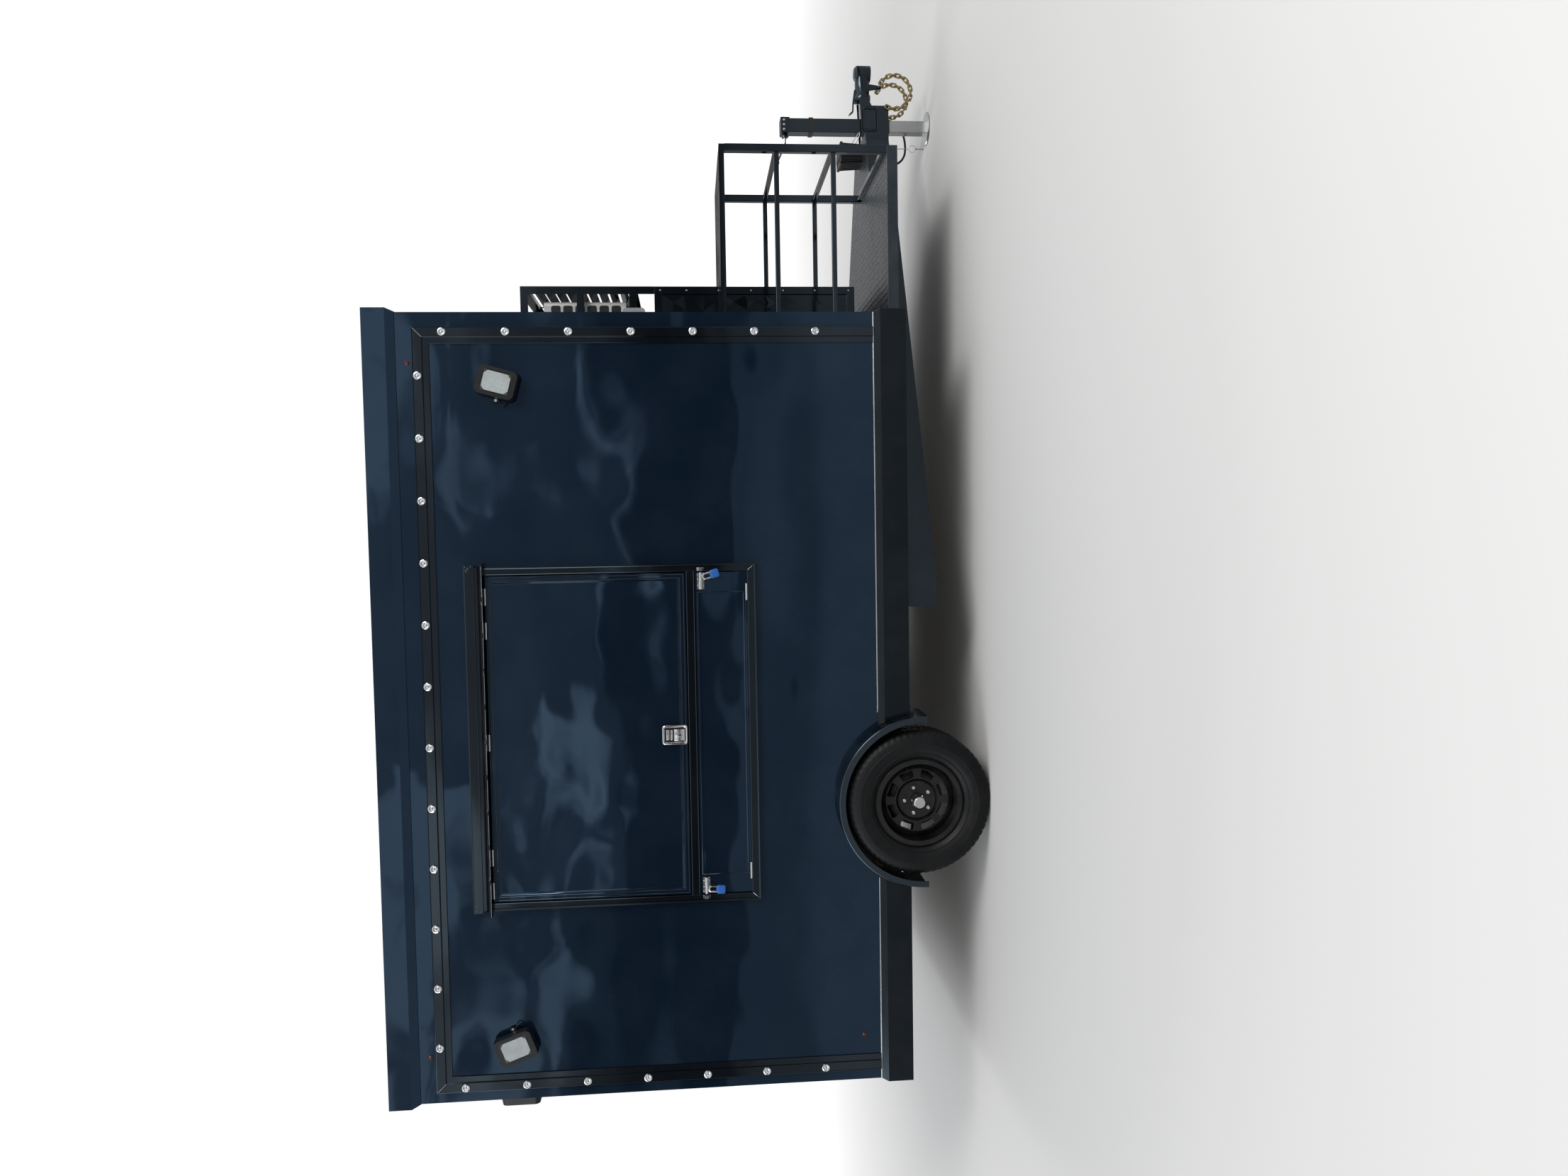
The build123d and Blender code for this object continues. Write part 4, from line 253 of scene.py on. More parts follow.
def clear_cover(name, colour, rough, transmission):
    """A see-through lens or lamp glass with fine moulding ripples."""
    material, bench, shader = new_finish(name)
    rubbed = bench.group(rub_marks, Scale=30.0)["Mask"]
    darker = tuple(channel * 0.86 for channel in colour) + (1.0,)
    bench.feed(shader["Base Color"], bench.blend(rubbed, (*colour, 1.0), darker))
    bench.feed(shader["Roughness"], bench.math("ADD", bench.math("MULTIPLY", rubbed, 0.05), rough))
    add_relief(bench, shader, bench.group(paint_grain, Scale=240.0, Depth=0.4)["Height"], 0.6)
    bench.feed(shader["Transmission Weight"], transmission)
    bench.feed(shader["IOR"], LENS_IOR)
    return material


# Finishes
NAVY = (0.0042, 0.0098, 0.0210)
BLUISH = (0.42, 0.68, 1.0)              # tints of the gloss: the blue of the navy sheets,
COOL = (0.62, 0.82, 1.0)                # and the cooler black of the frames
navy_sheet = coated("navy gloss sheet", NAVY, 0.02, waves=13.0, wave_scale=1.25, grain=0.008,
                    dust=0.02, on_top=0.1, specular=0.72, gloss_tint=BLUISH)
navy_panel = coated("navy gloss panel", NAVY, 0.02, waves=7.0, wave_scale=1.9, grain=0.008,
                    dust=0.01, on_top=0.1, specular=0.95, gloss_tint=BLUISH)
black_gloss = coated("black gloss steel", (0.0028, 0.0038, 0.0058), 0.05, waves=0.9,
                     wave_scale=3.0, grain=0.03, dust=0.02, on_top=0.05, specular=0.80, gloss_tint=COOL)
black_bead = coated("black bead enamel", (0.0040, 0.0054, 0.0080), 0.12, grain=0.03, dust=0.0,
                    on_top=0.0, specular=1.0, gloss_tint=COOL)
black_frame = coated("black chassis paint", (0.0075, 0.0085, 0.0105), 0.34, grain=0.25,
                     dust=0.28, specular=0.35)
black_skirt = coated("black brushed skirt", (0.0030, 0.0036, 0.0046), 0.08, waves=1.6,
                     wave_scale=3.0, grain=0.04, dust=0.02, streaks=0.10, specular=0.36, gloss_tint=COOL)
black_panel = coated("black panel sheet", (0.0035, 0.0045, 0.0065), 0.08, waves=0.8,
                     wave_scale=3.0, grain=0.04, dust=0.03, specular=0.5, gloss_tint=COOL)
tread_steel = coated("black tread plate", (0.0085, 0.0110, 0.0155), 0.24, grain=0.3, dust=0.12,
                     on_top=0.14, streaks=0.1, specular=0.9, gloss_tint=COOL)
# lighter and more metallic than the plate: worn tops, and a painted highlight standing in for their glints
worn_glinting_lugs = coated("worn tread lugs with painted glint", (0.030, 0.036, 0.046), 0.20, grain=0.1, dust=0.04,
                   on_top=0.05, metallic=0.6, specular=0.8)
mill_roof = coated("mill finish roof", (0.40, 0.41, 0.42), 0.46, waves=1.2, grain=0.1,
                   dust=0.05, on_top=0.25, metallic=1.0)
leg_steel = bare_metal("plated jack steel", (0.55, 0.56, 0.57), 0.25)
trim_steel = bare_metal("bright trim strip", (0.75, 0.76, 0.78), 0.18)
bright_chrome = bare_metal("bright chrome", (0.80, 0.80, 0.82), 0.09, streaks=0.05)
gold_zinc = bare_metal("gold zinc", (0.38, 0.30, 0.15), 0.28, grain=0.4)
hub_iron = coated("cast hub iron", (0.03, 0.03, 0.032), 0.5, grain=0.9, dust=0.3, metallic=0.6)
rim_paint = coated("black rim enamel", (0.0045, 0.0050, 0.0065), 0.18, grain=0.12, dust=0.08,
                   specular=0.4)
tyre_rubber = coated("tyre rubber", (0.0036, 0.0044, 0.0056), 0.44, grain=0.5, dust=0.03, on_top=0.0,
                     specular=0.26, grain_scale=260.0)
black_mould = coated("black moulded plastic", (0.0052, 0.0058, 0.0070), 0.38, grain=0.5,
                     dust=0.0, on_top=0.05, specular=0.34, grain_scale=320.0)
cable_rubber = coated("black cable rubber", (0.0060, 0.0065, 0.0075), 0.36, grain=0.3,
                      dust=0.1, specular=0.4)
grey_mould = coated("grey moulded plastic", (0.30, 0.31, 0.32), 0.38, grain=0.4)
unit_enamel = coated("pale unit enamel", (0.52, 0.53, 0.52), 0.32, grain=0.3, dust=0.15)
lock_plastic = coated("blue padlock cover", (0.02, 0.12, 0.42), 0.18, grain=0.2, dust=0.0)
floor_sheet = coated("cabin floor sheet", (0.20, 0.17, 0.13), 0.45, grain=0.5, on_top=0.35)
lining_sheet = coated("cabin lining sheet", (0.66, 0.66, 0.65), 0.35, waves=0.4, grain=0.5)
lamp_board = coated("pale lamp board", (0.62, 0.66, 0.66), 0.4, grain=0.2, dust=0.0)
# darker than the lens's own amber: painted shade of the unlit marker lamps
amber_cover_shaded = clear_cover("amber lens, darkened as shade", (0.15, 0.032, 0.003), 0.10, 0.25)
red_cover = clear_cover("red lens", (0.34, 0.008, 0.008), 0.12, 0.25)
clear_lens = clear_cover("clear lens", (0.93, 0.95, 0.97), 0.06, 0.9)
lamp_glass = clear_cover("floodlight glass", (0.90, 0.93, 0.94), 0.10, 0.92)

NODE_FINISHES = (
    (navy_sheet, "wall_right wall_left wall_front wall_rear roof_cap"),
    (navy_panel, "hatch_door serving_shelf entry_door"),
    (mill_roof, "roof_panel"),
    (black_gloss, "window_frame light_channel cage_rails rack_frame rack_guard jack_tube door_frame "
                  "tongue_frame coupler"),
    (black_bead, "fenders"),
    (black_frame, "frame_rails cross_members axle_beam leaf_springs cable_fittings"),
    (black_skirt, "side_skirt"),
    (black_panel, "utility_cabinet cage_lid"),
    (tread_steel, "porch_deck"),
    (floor_sheet, "floor_deck wheel_wells"),
    (leg_steel, "jack_leg"),
    (bright_chrome, "paddle_latch shelf_bolts bolt_keepers hub_cap_right hub_cap_left door_handle"),
    (gold_zinc, "safety_chains"),
    (hub_iron, "hub_right hub_left"),
    (rim_paint, "rim_right rim_left"),
    (tyre_rubber, "tyre_right tyre_left"),
    (black_mould, "floodlights battery_box plate_bracket cable_plug"),
    (cable_rubber, "trailer_cable"),
    (grey_mould, "power_box"),
    (unit_enamel, "ac_unit"),
    (lock_plastic, "padlocks"),
    (amber_cover_shaded, "marker_lights"),
    (red_cover, "tail_lights"),
    (clear_lens, "bullet_lights"),
    (lamp_glass, "flood_lenses"),
)


def finish_solids():
    """Each solid that stays in sight gets its finish."""
    for material, names in NODE_FINISHES:
        for name in names.split():
            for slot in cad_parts[name].material_slots:
                slot.material = material


SOFT_EDGES = {                          # width of the rounding on each solid's edges
    "window_frame": 0.0036, "cage_rails": 0.0025, "hatch_door": 0.0030, "serving_shelf": 0.0020,
    "roof_cap": 0.003, "side_skirt": 0.002, "door_frame": 0.0015, "entry_door": 0.002,
    "tongue_frame": 0.003, "porch_deck": 0.001, "utility_cabinet": 0.002, "rack_frame": 0.001,
    "ac_unit": 0.002, "light_channel": 0.0018, "coupler": 0.0015,
}
WELD_DISTANCE = 0.00001


def soften_edges():
    """A small rounding on the edges that catch the light."""
    for name, width in SOFT_EDGES.items():
        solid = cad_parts[name]
        weld = solid.modifiers.new("joined corners", "WELD")
        weld.merge_threshold = WELD_DISTANCE
        round_edge = solid.modifiers.new("soft edges", "BEVEL")
        round_edge.width = width
        round_edge.segments = 2
        round_edge.limit_method = "ANGLE"
        round_edge.angle_limit = radians(40)
        round_edge.harden_normals = True


# Ways of making shapes
def halfway(first, second):
    return (first + second) / 2


def across(side, near, far):
    """Two distances out from the middle, as Y on one side in rising order."""
    return sorted((side * near, side * far))


def whole_turn(steps):
    """Angles round a circle, without its start again at the end."""
    return [2 * pi * i / steps for i in range(steps)]


def half_turn(steps):
    """Angles over a half circle, with both its ends."""
    return [pi * i / steps for i in range(steps + 1)]


def facing(point, direction):
    """A place at point whose local Z looks along direction."""
    turn = Vector(direction).to_track_quat("Z", "X").to_matrix().to_4x4()
    return Matrix.Translation(point) @ turn


def block(bm, low, high, edge=0.0, place=Matrix()):
    """A block between two corners with rounded edges."""
    low, high = Vector(low), Vector(high)
    place = place @ Matrix.Translation(halfway(low, high)) @ Matrix.Diagonal((*(high - low), 1.0))
    made = bmesh.ops.create_cube(bm, size=1.0, matrix=place)
    if edge:
        edges = list(dict.fromkeys(e for v in made["verts"] for e in v.link_edges))
        bmesh.ops.bevel(bm, geom=edges, offset=edge, segments=2, profile=0.5, affect="EDGES")


def join_rings(bm, rings, closed=False):
    """Faces between rings of corners; a ring of one corner is a point."""
    pairs = list(zip(rings, rings[1:]))
    if closed:
        pairs.append((rings[-1], rings[0]))
    for lower, upper in pairs:
        steps = max(len(lower), len(upper))
        for i in range(steps):
            j = (i + 1) % steps
            corners = [lower[i % len(lower)], lower[j % len(lower)], upper[j % len(upper)],
                       upper[i % len(upper)]]
            corners = list(dict.fromkeys(corners))
            if len(corners) > 2:
                bm.faces.new(corners)


def turned(bm, profile, place, steps=16):
    """A round piece about the local Z of place, from (radius, along) points."""
    rings = []
    for radius, along in profile:
        if radius == 0:
            rings.append([bm.verts.new(place @ Vector((0, 0, along)))])
            continue
        rings.append([bm.verts.new(place @ Vector((radius * cos(a), radius * sin(a), along)))
                      for a in whole_turn(steps)])
    join_rings(bm, rings)


def bent_rod(bm, points, radius, sides=10):
    """A round rod that follows points."""
    points = [Vector(p) for p in points]
    rings = []
    normal = None
    for i, point in enumerate(points):
        before, after = points[max(i - 1, 0)], points[min(i + 1, len(points) - 1)]
        ahead = (after - before).normalized()
        normal = ahead.orthogonal() if normal is None else normal - ahead * normal.dot(ahead)
        normal.normalize()
        beside = ahead.cross(normal)
        rings.append([bm.verts.new(point + radius * (cos(a) * normal + sin(a) * beside))
                      for a in whole_turn(sides)])
    join_rings(bm, rings)
    bm.faces.new(rings[0])
    bm.faces.new(list(reversed(rings[-1])))


def level_rod(bm, x0, x1, y, z, radius, sides=8):
    """A straight rod along X."""
    bent_rod(bm, [(x0, y, z), (x1, y, z)], radius, sides)


def standing_rod(bm, x, y, z0, z1, radius, sides=8):
    """A straight upright rod."""
    bent_rod(bm, [(x, y, z0), (x, y, z1)], radius, sides)


def bead_loop(bm, corners, out, radius, sides=8):
    """A thin round bead along a closed flat outline, mitred at its corners."""
    rings = []
    for i, corner in enumerate(corners):
        into = (corner - corners[i - 1]).normalized()
        away = (corners[(i + 1) % len(corners)] - corner).normalized()
        mitre = (into + away).normalized().cross(out)
        mitre /= max(0.3, mitre.dot(into.cross(out)))
        rings.append([bm.verts.new(corner + radius * (cos(a) * out + sin(a) * mitre))
                      for a in whole_turn(sides)])
    join_rings(bm, rings, closed=True)


def upright(point, out, turn=0.0):
    """A place whose local Z looks along out with local Y up, then turned about out."""
    out = Vector(out)
    axes = Matrix((Z_AXIS.cross(out), Z_AXIS, out)).transposed().to_4x4()
    return Matrix.Translation(point) @ axes @ Matrix.Rotation(turn, 4, "Z")


def rounded(width, height, radius, steps=5):
    """Points round a rectangle with rounded corners, as (across, up) from its middle."""
    flat_u, flat_v = width / 2 - radius, height / 2 - radius
    points = []
    for quarter, (right, top) in enumerate(((1, 1), (-1, 1), (-1, -1), (1, -1))):
        for k in range(steps + 1):
            a = (quarter + k / steps) * pi / 2
            points.append((right * flat_u + radius * cos(a), top * flat_v + radius * sin(a)))
    return points


def less_by(width, height, levels):
    """Outlines for stepped_plate from (how much less than width and height, corner, z)."""
    return [(width - less, height - less, corner, z) for less, corner, z in levels]


def stepped_plate(bm, place, levels, steps=5, ring=False):
    """Rounded outlines (width, height, corner, z) stacked along place's local Z; a ring has no middle."""
    rings = []
    for width, height, corner, z in levels:
        outline = rounded(width, height, corner, steps)
        rings.append([bm.verts.new(place @ Vector((u, v, z))) for u, v in outline])
    join_rings(bm, rings, closed=ring)
    if not ring:
        bm.faces.new(rings[0])
        bm.faces.new(rings[-1])


def wall_loop(low, high, inset):
    """The four corners of an upright rectangle between two corners, made smaller by inset."""
    x0, x1, z0, z1 = low.x + inset, high.x - inset, low.z + inset, high.z - inset
    return [Vector((x, low.y, z)) for x, z in ((x0, z0), (x1, z0), (x1, z1), (x0, z1))]


def set_up(name, data):
    """A new object of the scene."""
    thing = bpy.data.objects.new(name, data)
    bpy.context.scene.collection.objects.link(thing)
    return thing


def piece(name, body, material, draw, replaced=(), sharp=35):
    """One dressed piece: draw(bm) makes its shape, and it rides on body."""
    bm = bmesh.new()
    draw(bm)
    bmesh.ops.recalc_face_normals(bm, faces=bm.faces)
    mesh = bpy.data.meshes.new(name)
    bm.to_mesh(mesh)
    bm.free()
    mesh.shade_smooth()
    mesh.set_sharp_from_angle(angle=radians(sharp))
    mesh.materials.append(material)
    thing = set_up(name, mesh)
    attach(thing, body)
    if replaced:
        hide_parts(*replaced)


def both_sides(draw):
    """A drawing made once for each side wall; draw(bm, side) gets -1 or 1."""
    def draw_both(bm):
        for side in SIDES.values():
            draw(bm, side)
    return draw_both


SCREW_HEAD = ((0.0, 0.0018), (0.0030, 0.0013), (0.0042, 0.0))
BOLT_HEAD = ((0.0, 0.0042), (0.0060, 0.0042), (0.0074, 0.0032), (0.0074, 0.0))


def screw(bm, point, direction, size=1.0):
    """A small domed screw head standing on a surface."""
    profile = [(radius * size, along * size) for radius, along in SCREW_HEAD]
    turned(bm, profile, facing(point, direction), steps=8)


# Walls
HAIR = 0.001                            # how deep a laid-on piece is let in, or how far it stays off an edge
SEAM_X = (-1.901, -0.731, 0.462)        # where the wall sheets lap
SEAM_WIDTH = 0.028
SEAM_OUT = 0.0004
FASCIA_BEVEL = 0.039                    # height of the bevel along the fascia's foot
JOINT_WIDTH = 0.002
JOINT_BACK = 0.0001
FOOT_STRIP = 0.005
FOOT_STRIP_OUT = 0.004
UNDER_FENDER = 0.03                     # how far the foot strips run in behind the fender's edge
EDGE_TRIM_OUT = 0.0015
EDGE_TRIM_SHORT = 0.12                  # the trim ends this far before the walls
EDGE_SCREWS = 4                         # on each side of the middle
EDGE_SCREW_STEPS = 4.3                  # steps from the middle to the trim's end


def wall_seams():
    """Laps between the wall sheets, and between the fascia's lengths."""
    def draw(bm, side):
        near, far = across(side, WALL_Y - HAIR, WALL_Y + SEAM_OUT)
        for x in SEAM_X:
            over_window = side < 0 and WINDOW[LOW].x < x < WINDOW[HIGH].x
            foot = WINDOW[HIGH].z if over_window else FOOT_Z
            block(bm, (x, near, foot), (x + SEAM_WIDTH, far, CAP_Z))
    piece("wall_seam_laps", "trailer", navy_sheet, both_sides(draw))

    def draw_fascia(bm, side):
        out = span["roof_cap"][HIGH].y
        near, far = across(side, out - HAIR, out - JOINT_BACK)
        for x in SEAM_X:
            block(bm, (x, near, CAP_Z + FASCIA_BEVEL), (x + JOINT_WIDTH, far, ROOF_Z - HAIR))
    piece("fascia_joints", "trailer", black_gloss, both_sides(draw_fascia))


def foot_strips():
    """The thin bright steel strip along each wall's foot, above the skirt: a painted highlight where the
    skirt's top flange catches the light.
    """
    rear, front = span["fenders"][LOW].x + UNDER_FENDER, span["fenders"][HIGH].x - UNDER_FENDER

    def draw(bm, side):
        near, far = across(side, WALL_Y, WALL_Y + FOOT_STRIP_OUT)
        for x0, x1 in ((REAR_X, rear), (front, FRONT_X)):
            block(bm, (x0, near, FOOT_Z), (x1, far, FOOT_Z + FOOT_STRIP), HAIR)
    piece("wall_foot_highlight_strips", "trailer", trim_steel, both_sides(draw))


def front_edge_trim():
    """The black folded strip over the floor's edge, along the foot of the front wall."""
    low, high = span["floor_deck"]
    face = high.x + EDGE_TRIM_OUT
    half = high.y - EDGE_TRIM_SHORT

    def draw(bm):
        block(bm, (high.x - 0.0005, -half, low.z + HAIR), (face, half, high.z + 0.006), 0.0005)
        for k in range(-EDGE_SCREWS, EDGE_SCREWS + 1):
            screw(bm, (face, k * half / EDGE_SCREW_STEPS, high.z - 0.010), (1, 0, 0), 0.8)
    piece("front_edge_trim", "trailer", black_gloss, draw)


AXLE_TUBE_R = 0.036
AXLE_TUBE_Z = 0.343
SPRING_MIDDLE = span["leaf_springs"][HIGH].y - 0.0225
TIE_NUT = ((0.0, 0.009), (0.0085, 0.009), (0.0095, 0.0))
TIE_PLATE_LONG, TIE_PLATE_WIDE = 0.050, 0.040       # half its sizes


def spring_bolts():
    """The U-bolts that clamp each spring under the axle, with their tie plate and nuts."""
    foot = span["leaf_springs"][LOW].z
    thread_end, nut_seat = foot - 0.022, foot - 0.006
    rear, front = AXLE_X - AXLE_TUBE_R, AXLE_X + AXLE_TUBE_R

    def draw(bm, side):
        for beside in (-0.029, 0.029):
            y = side * (SPRING_MIDDLE + beside)
            arch = [(AXLE_X + AXLE_TUBE_R * cos(a), y, AXLE_TUBE_Z + AXLE_TUBE_R * sin(a))
                    for a in half_turn(10)]
            bent_rod(bm, [(front, y, thread_end)] + arch + [(rear, y, thread_end)], 0.005, 8)
            for x in (rear, front):
                turned(bm, TIE_NUT, facing((x, y, nut_seat), (0, 0, -1)), 6)
        near, far = across(side, SPRING_MIDDLE - TIE_PLATE_WIDE, SPRING_MIDDLE + TIE_PLATE_WIDE)
        low = (AXLE_X - TIE_PLATE_LONG, near, foot - 0.0065)
        block(bm, low, (AXLE_X + TIE_PLATE_LONG, far, foot - 0.0004), HAIR)
    piece("spring_u_bolts", "trailer", black_frame, both_sides(draw))


# Lights
LIGHT_RING = ((0.0125, 0.0052), (0.0150, 0.0066), (0.0178, 0.0056), (0.0190, 0.0030), (0.0190, 0.0))
LIGHT_DOME = ((0.0, 0.0140), (0.0048, 0.0134), (0.0086, 0.0112), (0.0112, 0.0080), (0.0126, 0.0040))
LIGHT_BULB = ((0.0, 0.0100), (0.0026, 0.0090), (0.0036, 0.0060), (0.0036, 0.0010), (0.0120, 0.0006))
ROW_LIGHTS = 12
COLUMN_LIGHTS = 7
LIGHT_PITCH = 0.282
FIRST_DROP = 0.112                      # from the row down to the first light of a column
CHANNEL_WIDTH = 0.046
INNER_LIP = CHANNEL_WIDTH + 0.014       # from the channel's outer edge to the foot of its inner one
LIP_SCREW_OUT = 0.004                   # from there to the middle of its screws
LIP_SCREW = 0.55


def light_places():
    """Centre of each bullet light of one side wall, as (x, z)."""
    row_z = CHANNEL[HIGH].z - CHANNEL_WIDTH / 2
    middle = halfway(CHANNEL[LOW].x, CHANNEL[HIGH].x)
    places = [(middle + (i - (ROW_LIGHTS - 1) / 2) * LIGHT_PITCH, row_z) for i in range(ROW_LIGHTS)]
    for x in (CHANNEL[LOW].x + CHANNEL_WIDTH / 2, CHANNEL[HIGH].x - CHANNEL_WIDTH / 2):
        places += [(x, row_z - FIRST_DROP - i * LIGHT_PITCH) for i in range(COLUMN_LIGHTS)]
    return places


def bullet_lights():
    """Clear domes with a small bulb, each in its silvery ring."""
    face = CHANNEL[HIGH].y

    def draw(profile, steps):
        def draw_side(bm, side):
            for x, z in light_places():
                turned(bm, profile, facing((x, side * face, z), (0, side, 0)), steps)
        return both_sides(draw_side)
    piece("bullet_light_domes", "trailer", clear_lens, draw(LIGHT_DOME, 20), replaced=["bullet_lights"])
    piece("bullet_light_rings", "trailer", bright_chrome, draw(LIGHT_RING, 20))
    piece("bullet_light_bulbs", "trailer", bright_chrome, draw(LIGHT_BULB, 12))


def channel_lips():
    """The thin raised lips along the channel's two edges, with small screws beside the inner one."""
    step = LIGHT_PITCH * 2
    lips = ((0.0030, 0.0028, CHANNEL[HIGH].y - 0.0008),
            (INNER_LIP + LIP_SCREW_OUT, 0.0026, WALL_Y + 0.0012))       # inset, radius, distance out

    def draw(bm, side):
        for inset, radius, out in lips:
            x0, x1 = CHANNEL[LOW].x + inset, CHANNEL[HIGH].x - inset
            top, foot = CHANNEL[HIGH].z - inset, CHANNEL[LOW].z + 0.002
            line = [(x, side * out, z) for x, z in ((x0, foot), (x0, top), (x1, top), (x1, foot))]
            bent_rod(bm, line, radius, 6)
        x0, x1 = CHANNEL[LOW].x + INNER_LIP, CHANNEL[HIGH].x - INNER_LIP
        top = CHANNEL[HIGH].z - INNER_LIP
        count = int((x1 - x0) / step)
        places = [(x0 + (x1 - x0) * i / count, top + LIP_SCREW_OUT) for i in range(count + 1)]
        for i in range(1, int((top - CHANNEL[LOW].z) / step) + 1):
            places += [(x, top - i * step) for x in (x0 - LIP_SCREW_OUT, x1 + LIP_SCREW_OUT)]
        for x, z in places:
            screw(bm, (x, side * (WALL_Y + 0.0002), z), (0, side, 0), LIP_SCREW)
    piece("channel_lips", "trailer", black_bead, both_sides(draw))


# Serving window
KNUCKLE = 0.005                         # the hinge knuckles stand out this far from the hatch's face
FACE_Y = HATCH[LOW].y + KNUCKLE
HATCH_TOP = HATCH[HIGH].z - KNUCKLE
SHELF_HINGE_Z = SHELF[LOW].z + KNUCKLE
HATCH_HINGES = (0.035, 0.138, 0.493, 0.835, 0.938)      # share of the way along
SHELF_HINGES = (0.067, 0.938)
SLEEVE_HALF = 0.08 * 0.48               # half of a knuckle's length, a little short of its ends
SLEEVE_SKIN = 0.00012
HATCH_FACE = (Vector((HATCH[LOW].x, FACE_Y, HATCH[LOW].z)), Vector((HATCH[HIGH].x, FACE_Y, HATCH_TOP)))
SHELF_FACE = (Vector((SHELF[LOW].x, FACE_Y, SHELF[LOW].z)), Vector((SHELF[HIGH].x, FACE_Y, SHELF[HIGH].z)))
BOLT_ROOM = 0.082                       # what the barrel bolts take at each end of the shelf
COLUMN_X = (WINDOW[LOW].x + 0.020, WINDOW[HIGH].x - 0.020)      # outer edges of the frame's columns
INWARD = (1, -1)                        # from the left end and from the right end
MITRE_R = 0.0007
LEDGE_BAYS = 5                          # lengths of lip along the drip ledge, each with a notch at its middle
LEDGE_LIP_Z = HATCH_TOP + 0.0068
LEDGE_GAP = 0.012
HEADER_WELDS = ((0.004, 0.010), (0.012, 0.022), (0.003, 0.034), (0.022, 0.014))     # (along, down)


def raised_beads():
    """The double raised line round the hatch, and the single one along the shelf's edge."""
    def draw_hatch(bm):
        for inset in (0.007, 0.023):
            bead_loop(bm, wall_loop(*HATCH_FACE, inset), -Y_AXIS, 0.0024)
    piece("hatch_raised_beads", "hatch", black_gloss, draw_hatch)

    def draw_shelf(bm):
        low, high = SHELF_FACE
        bead_loop(bm, wall_loop(low + X_AXIS * BOLT_ROOM, high - X_AXIS * BOLT_ROOM, 0.009), -Y_AXIS, 0.0020)
    piece("shelf_raised_bead", "shelf", black_gloss, draw_shelf)


def frame_beads():
    """The rounded edges of the window frame's columns, transom, sill and foot, which catch the light."""
    left, right = COLUMN_X
    top, foot = HATCH_TOP + 0.004, WINDOW[LOW].z
    sill, transom = SHELF[LOW].z - 0.002, HATCH[LOW].z - 0.0055
    outer_y, inner_y = FACE_Y - 0.0042, FACE_Y + 0.0004
    outer_r, inner_r = 0.0036, 0.0022

    def draw(bm):
        for x in (left + 0.0045, right - 0.0045):
            standing_rod(bm, x, outer_y, foot + 0.004, top, outer_r, 10)
        level_rod(bm, left + 0.004, right - 0.004, outer_y, foot + 0.0045, outer_r, 10)
        for x in (left + 0.0325, right - 0.0325):
            standing_rod(bm, x, inner_y, sill, top, inner_r)
        for z in (transom - 0.0025, transom - 0.0355, sill + 0.0005):
            level_rod(bm, left + 0.033, right - 0.033, inner_y, z, inner_r)
        x0, x1, z = WINDOW[LOW].x + 0.008, WINDOW[HIGH].x - 0.008, WINDOW[HIGH].z - 0.004
        level_rod(bm, x0, x1, FACE_Y - 0.0022, z, 0.0034, 10)
    piece("window_frame_beads", "trailer", black_bead, draw)


def hinge_sleeves(name, body, faces, shares, z):
    """The bright sleeve round each hinge knuckle."""
    def draw(bm):
        low, high = faces
        for share in shares:
            x = low.x + share * (high.x - low.x)
            level_rod(bm, x - SLEEVE_HALF, x + SLEEVE_HALF, FACE_Y, z, KNUCKLE + SLEEVE_SKIN, 20)
    piece(name, body, trim_steel, draw)


def mitre_welds():
    """The bright ground line of the weld across the mitred corners of window frame and channels."""
    corners = [(x, inward, FACE_Y, WINDOW[LOW].z, 1, 0.034, 0.038) for x, inward in zip(COLUMN_X, INWARD)]
    for side in SIDES.values():
        for x, inward in zip((CHANNEL[LOW].x, CHANNEL[HIGH].x), INWARD):
            corners.append((x, inward, side * CHANNEL[HIGH].y, CHANNEL[HIGH].z, -1, 0.045, 0.045))

    def draw(bm):
        for x, inward, y, z, up, wide, tall in corners:
            line = [(x + inward * HAIR, y, z + up * HAIR), (x + inward * wide, y, z + up * tall)]
            bent_rod(bm, line, MITRE_R, 6)
    piece("mitre_weld_lines", "trailer", trim_steel, draw)


def ledge_lip():
    """Bright steel along the drip ledge's lip, between its half-round notches: a painted highlight on that
    edge.
    """
    def draw(bm):
        x0, x1 = WINDOW[LOW].x + 0.002, WINDOW[HIGH].x - 0.002
        step = (x1 - x0) / LEDGE_BAYS
        y = WINDOW[LOW].y + 0.0004
        for i in range(LEDGE_BAYS):
            start = x0 + i * step + LEDGE_GAP * (i > 0)
            level_rod(bm, start, x0 + (i + 0.46) * step, y, LEDGE_LIP_Z, 0.0010, 6)
            level_rod(bm, x0 + (i + 0.54) * step, x0 + (i + 1) * step - LEDGE_GAP, y, LEDGE_LIP_Z, 0.0010, 6)
    piece("ledge_highlight_lip", "trailer", trim_steel, draw)


def header_welds():
    """Thin rounded edges along the header band, and small round welds at its two ends."""
    def draw(bm):
        for drop in (0.0015, 0.0435):
            z = WINDOW[HIGH].z - drop
            level_rod(bm, WINDOW[LOW].x + 0.010, WINDOW[HIGH].x - 0.010, FACE_Y - 0.0036, z, 0.0016)
        for x, inward in zip((WINDOW[LOW].x + 0.012, WINDOW[HIGH].x - 0.012), INWARD):
            for i, (along, drop) in enumerate(HEADER_WELDS):
                size = 0.0050 + 0.0010 * (i % 2)
                place = facing((x + inward * along, FACE_Y - 0.004, WINDOW[HIGH].z - drop), (0, -1, 0))
                turned(bm, ((0.0, 0.0024), (size * 0.6, 0.0018), (size, 0.0)), place, 10)
    piece("header_end_welds", "trailer", black_gloss, draw)


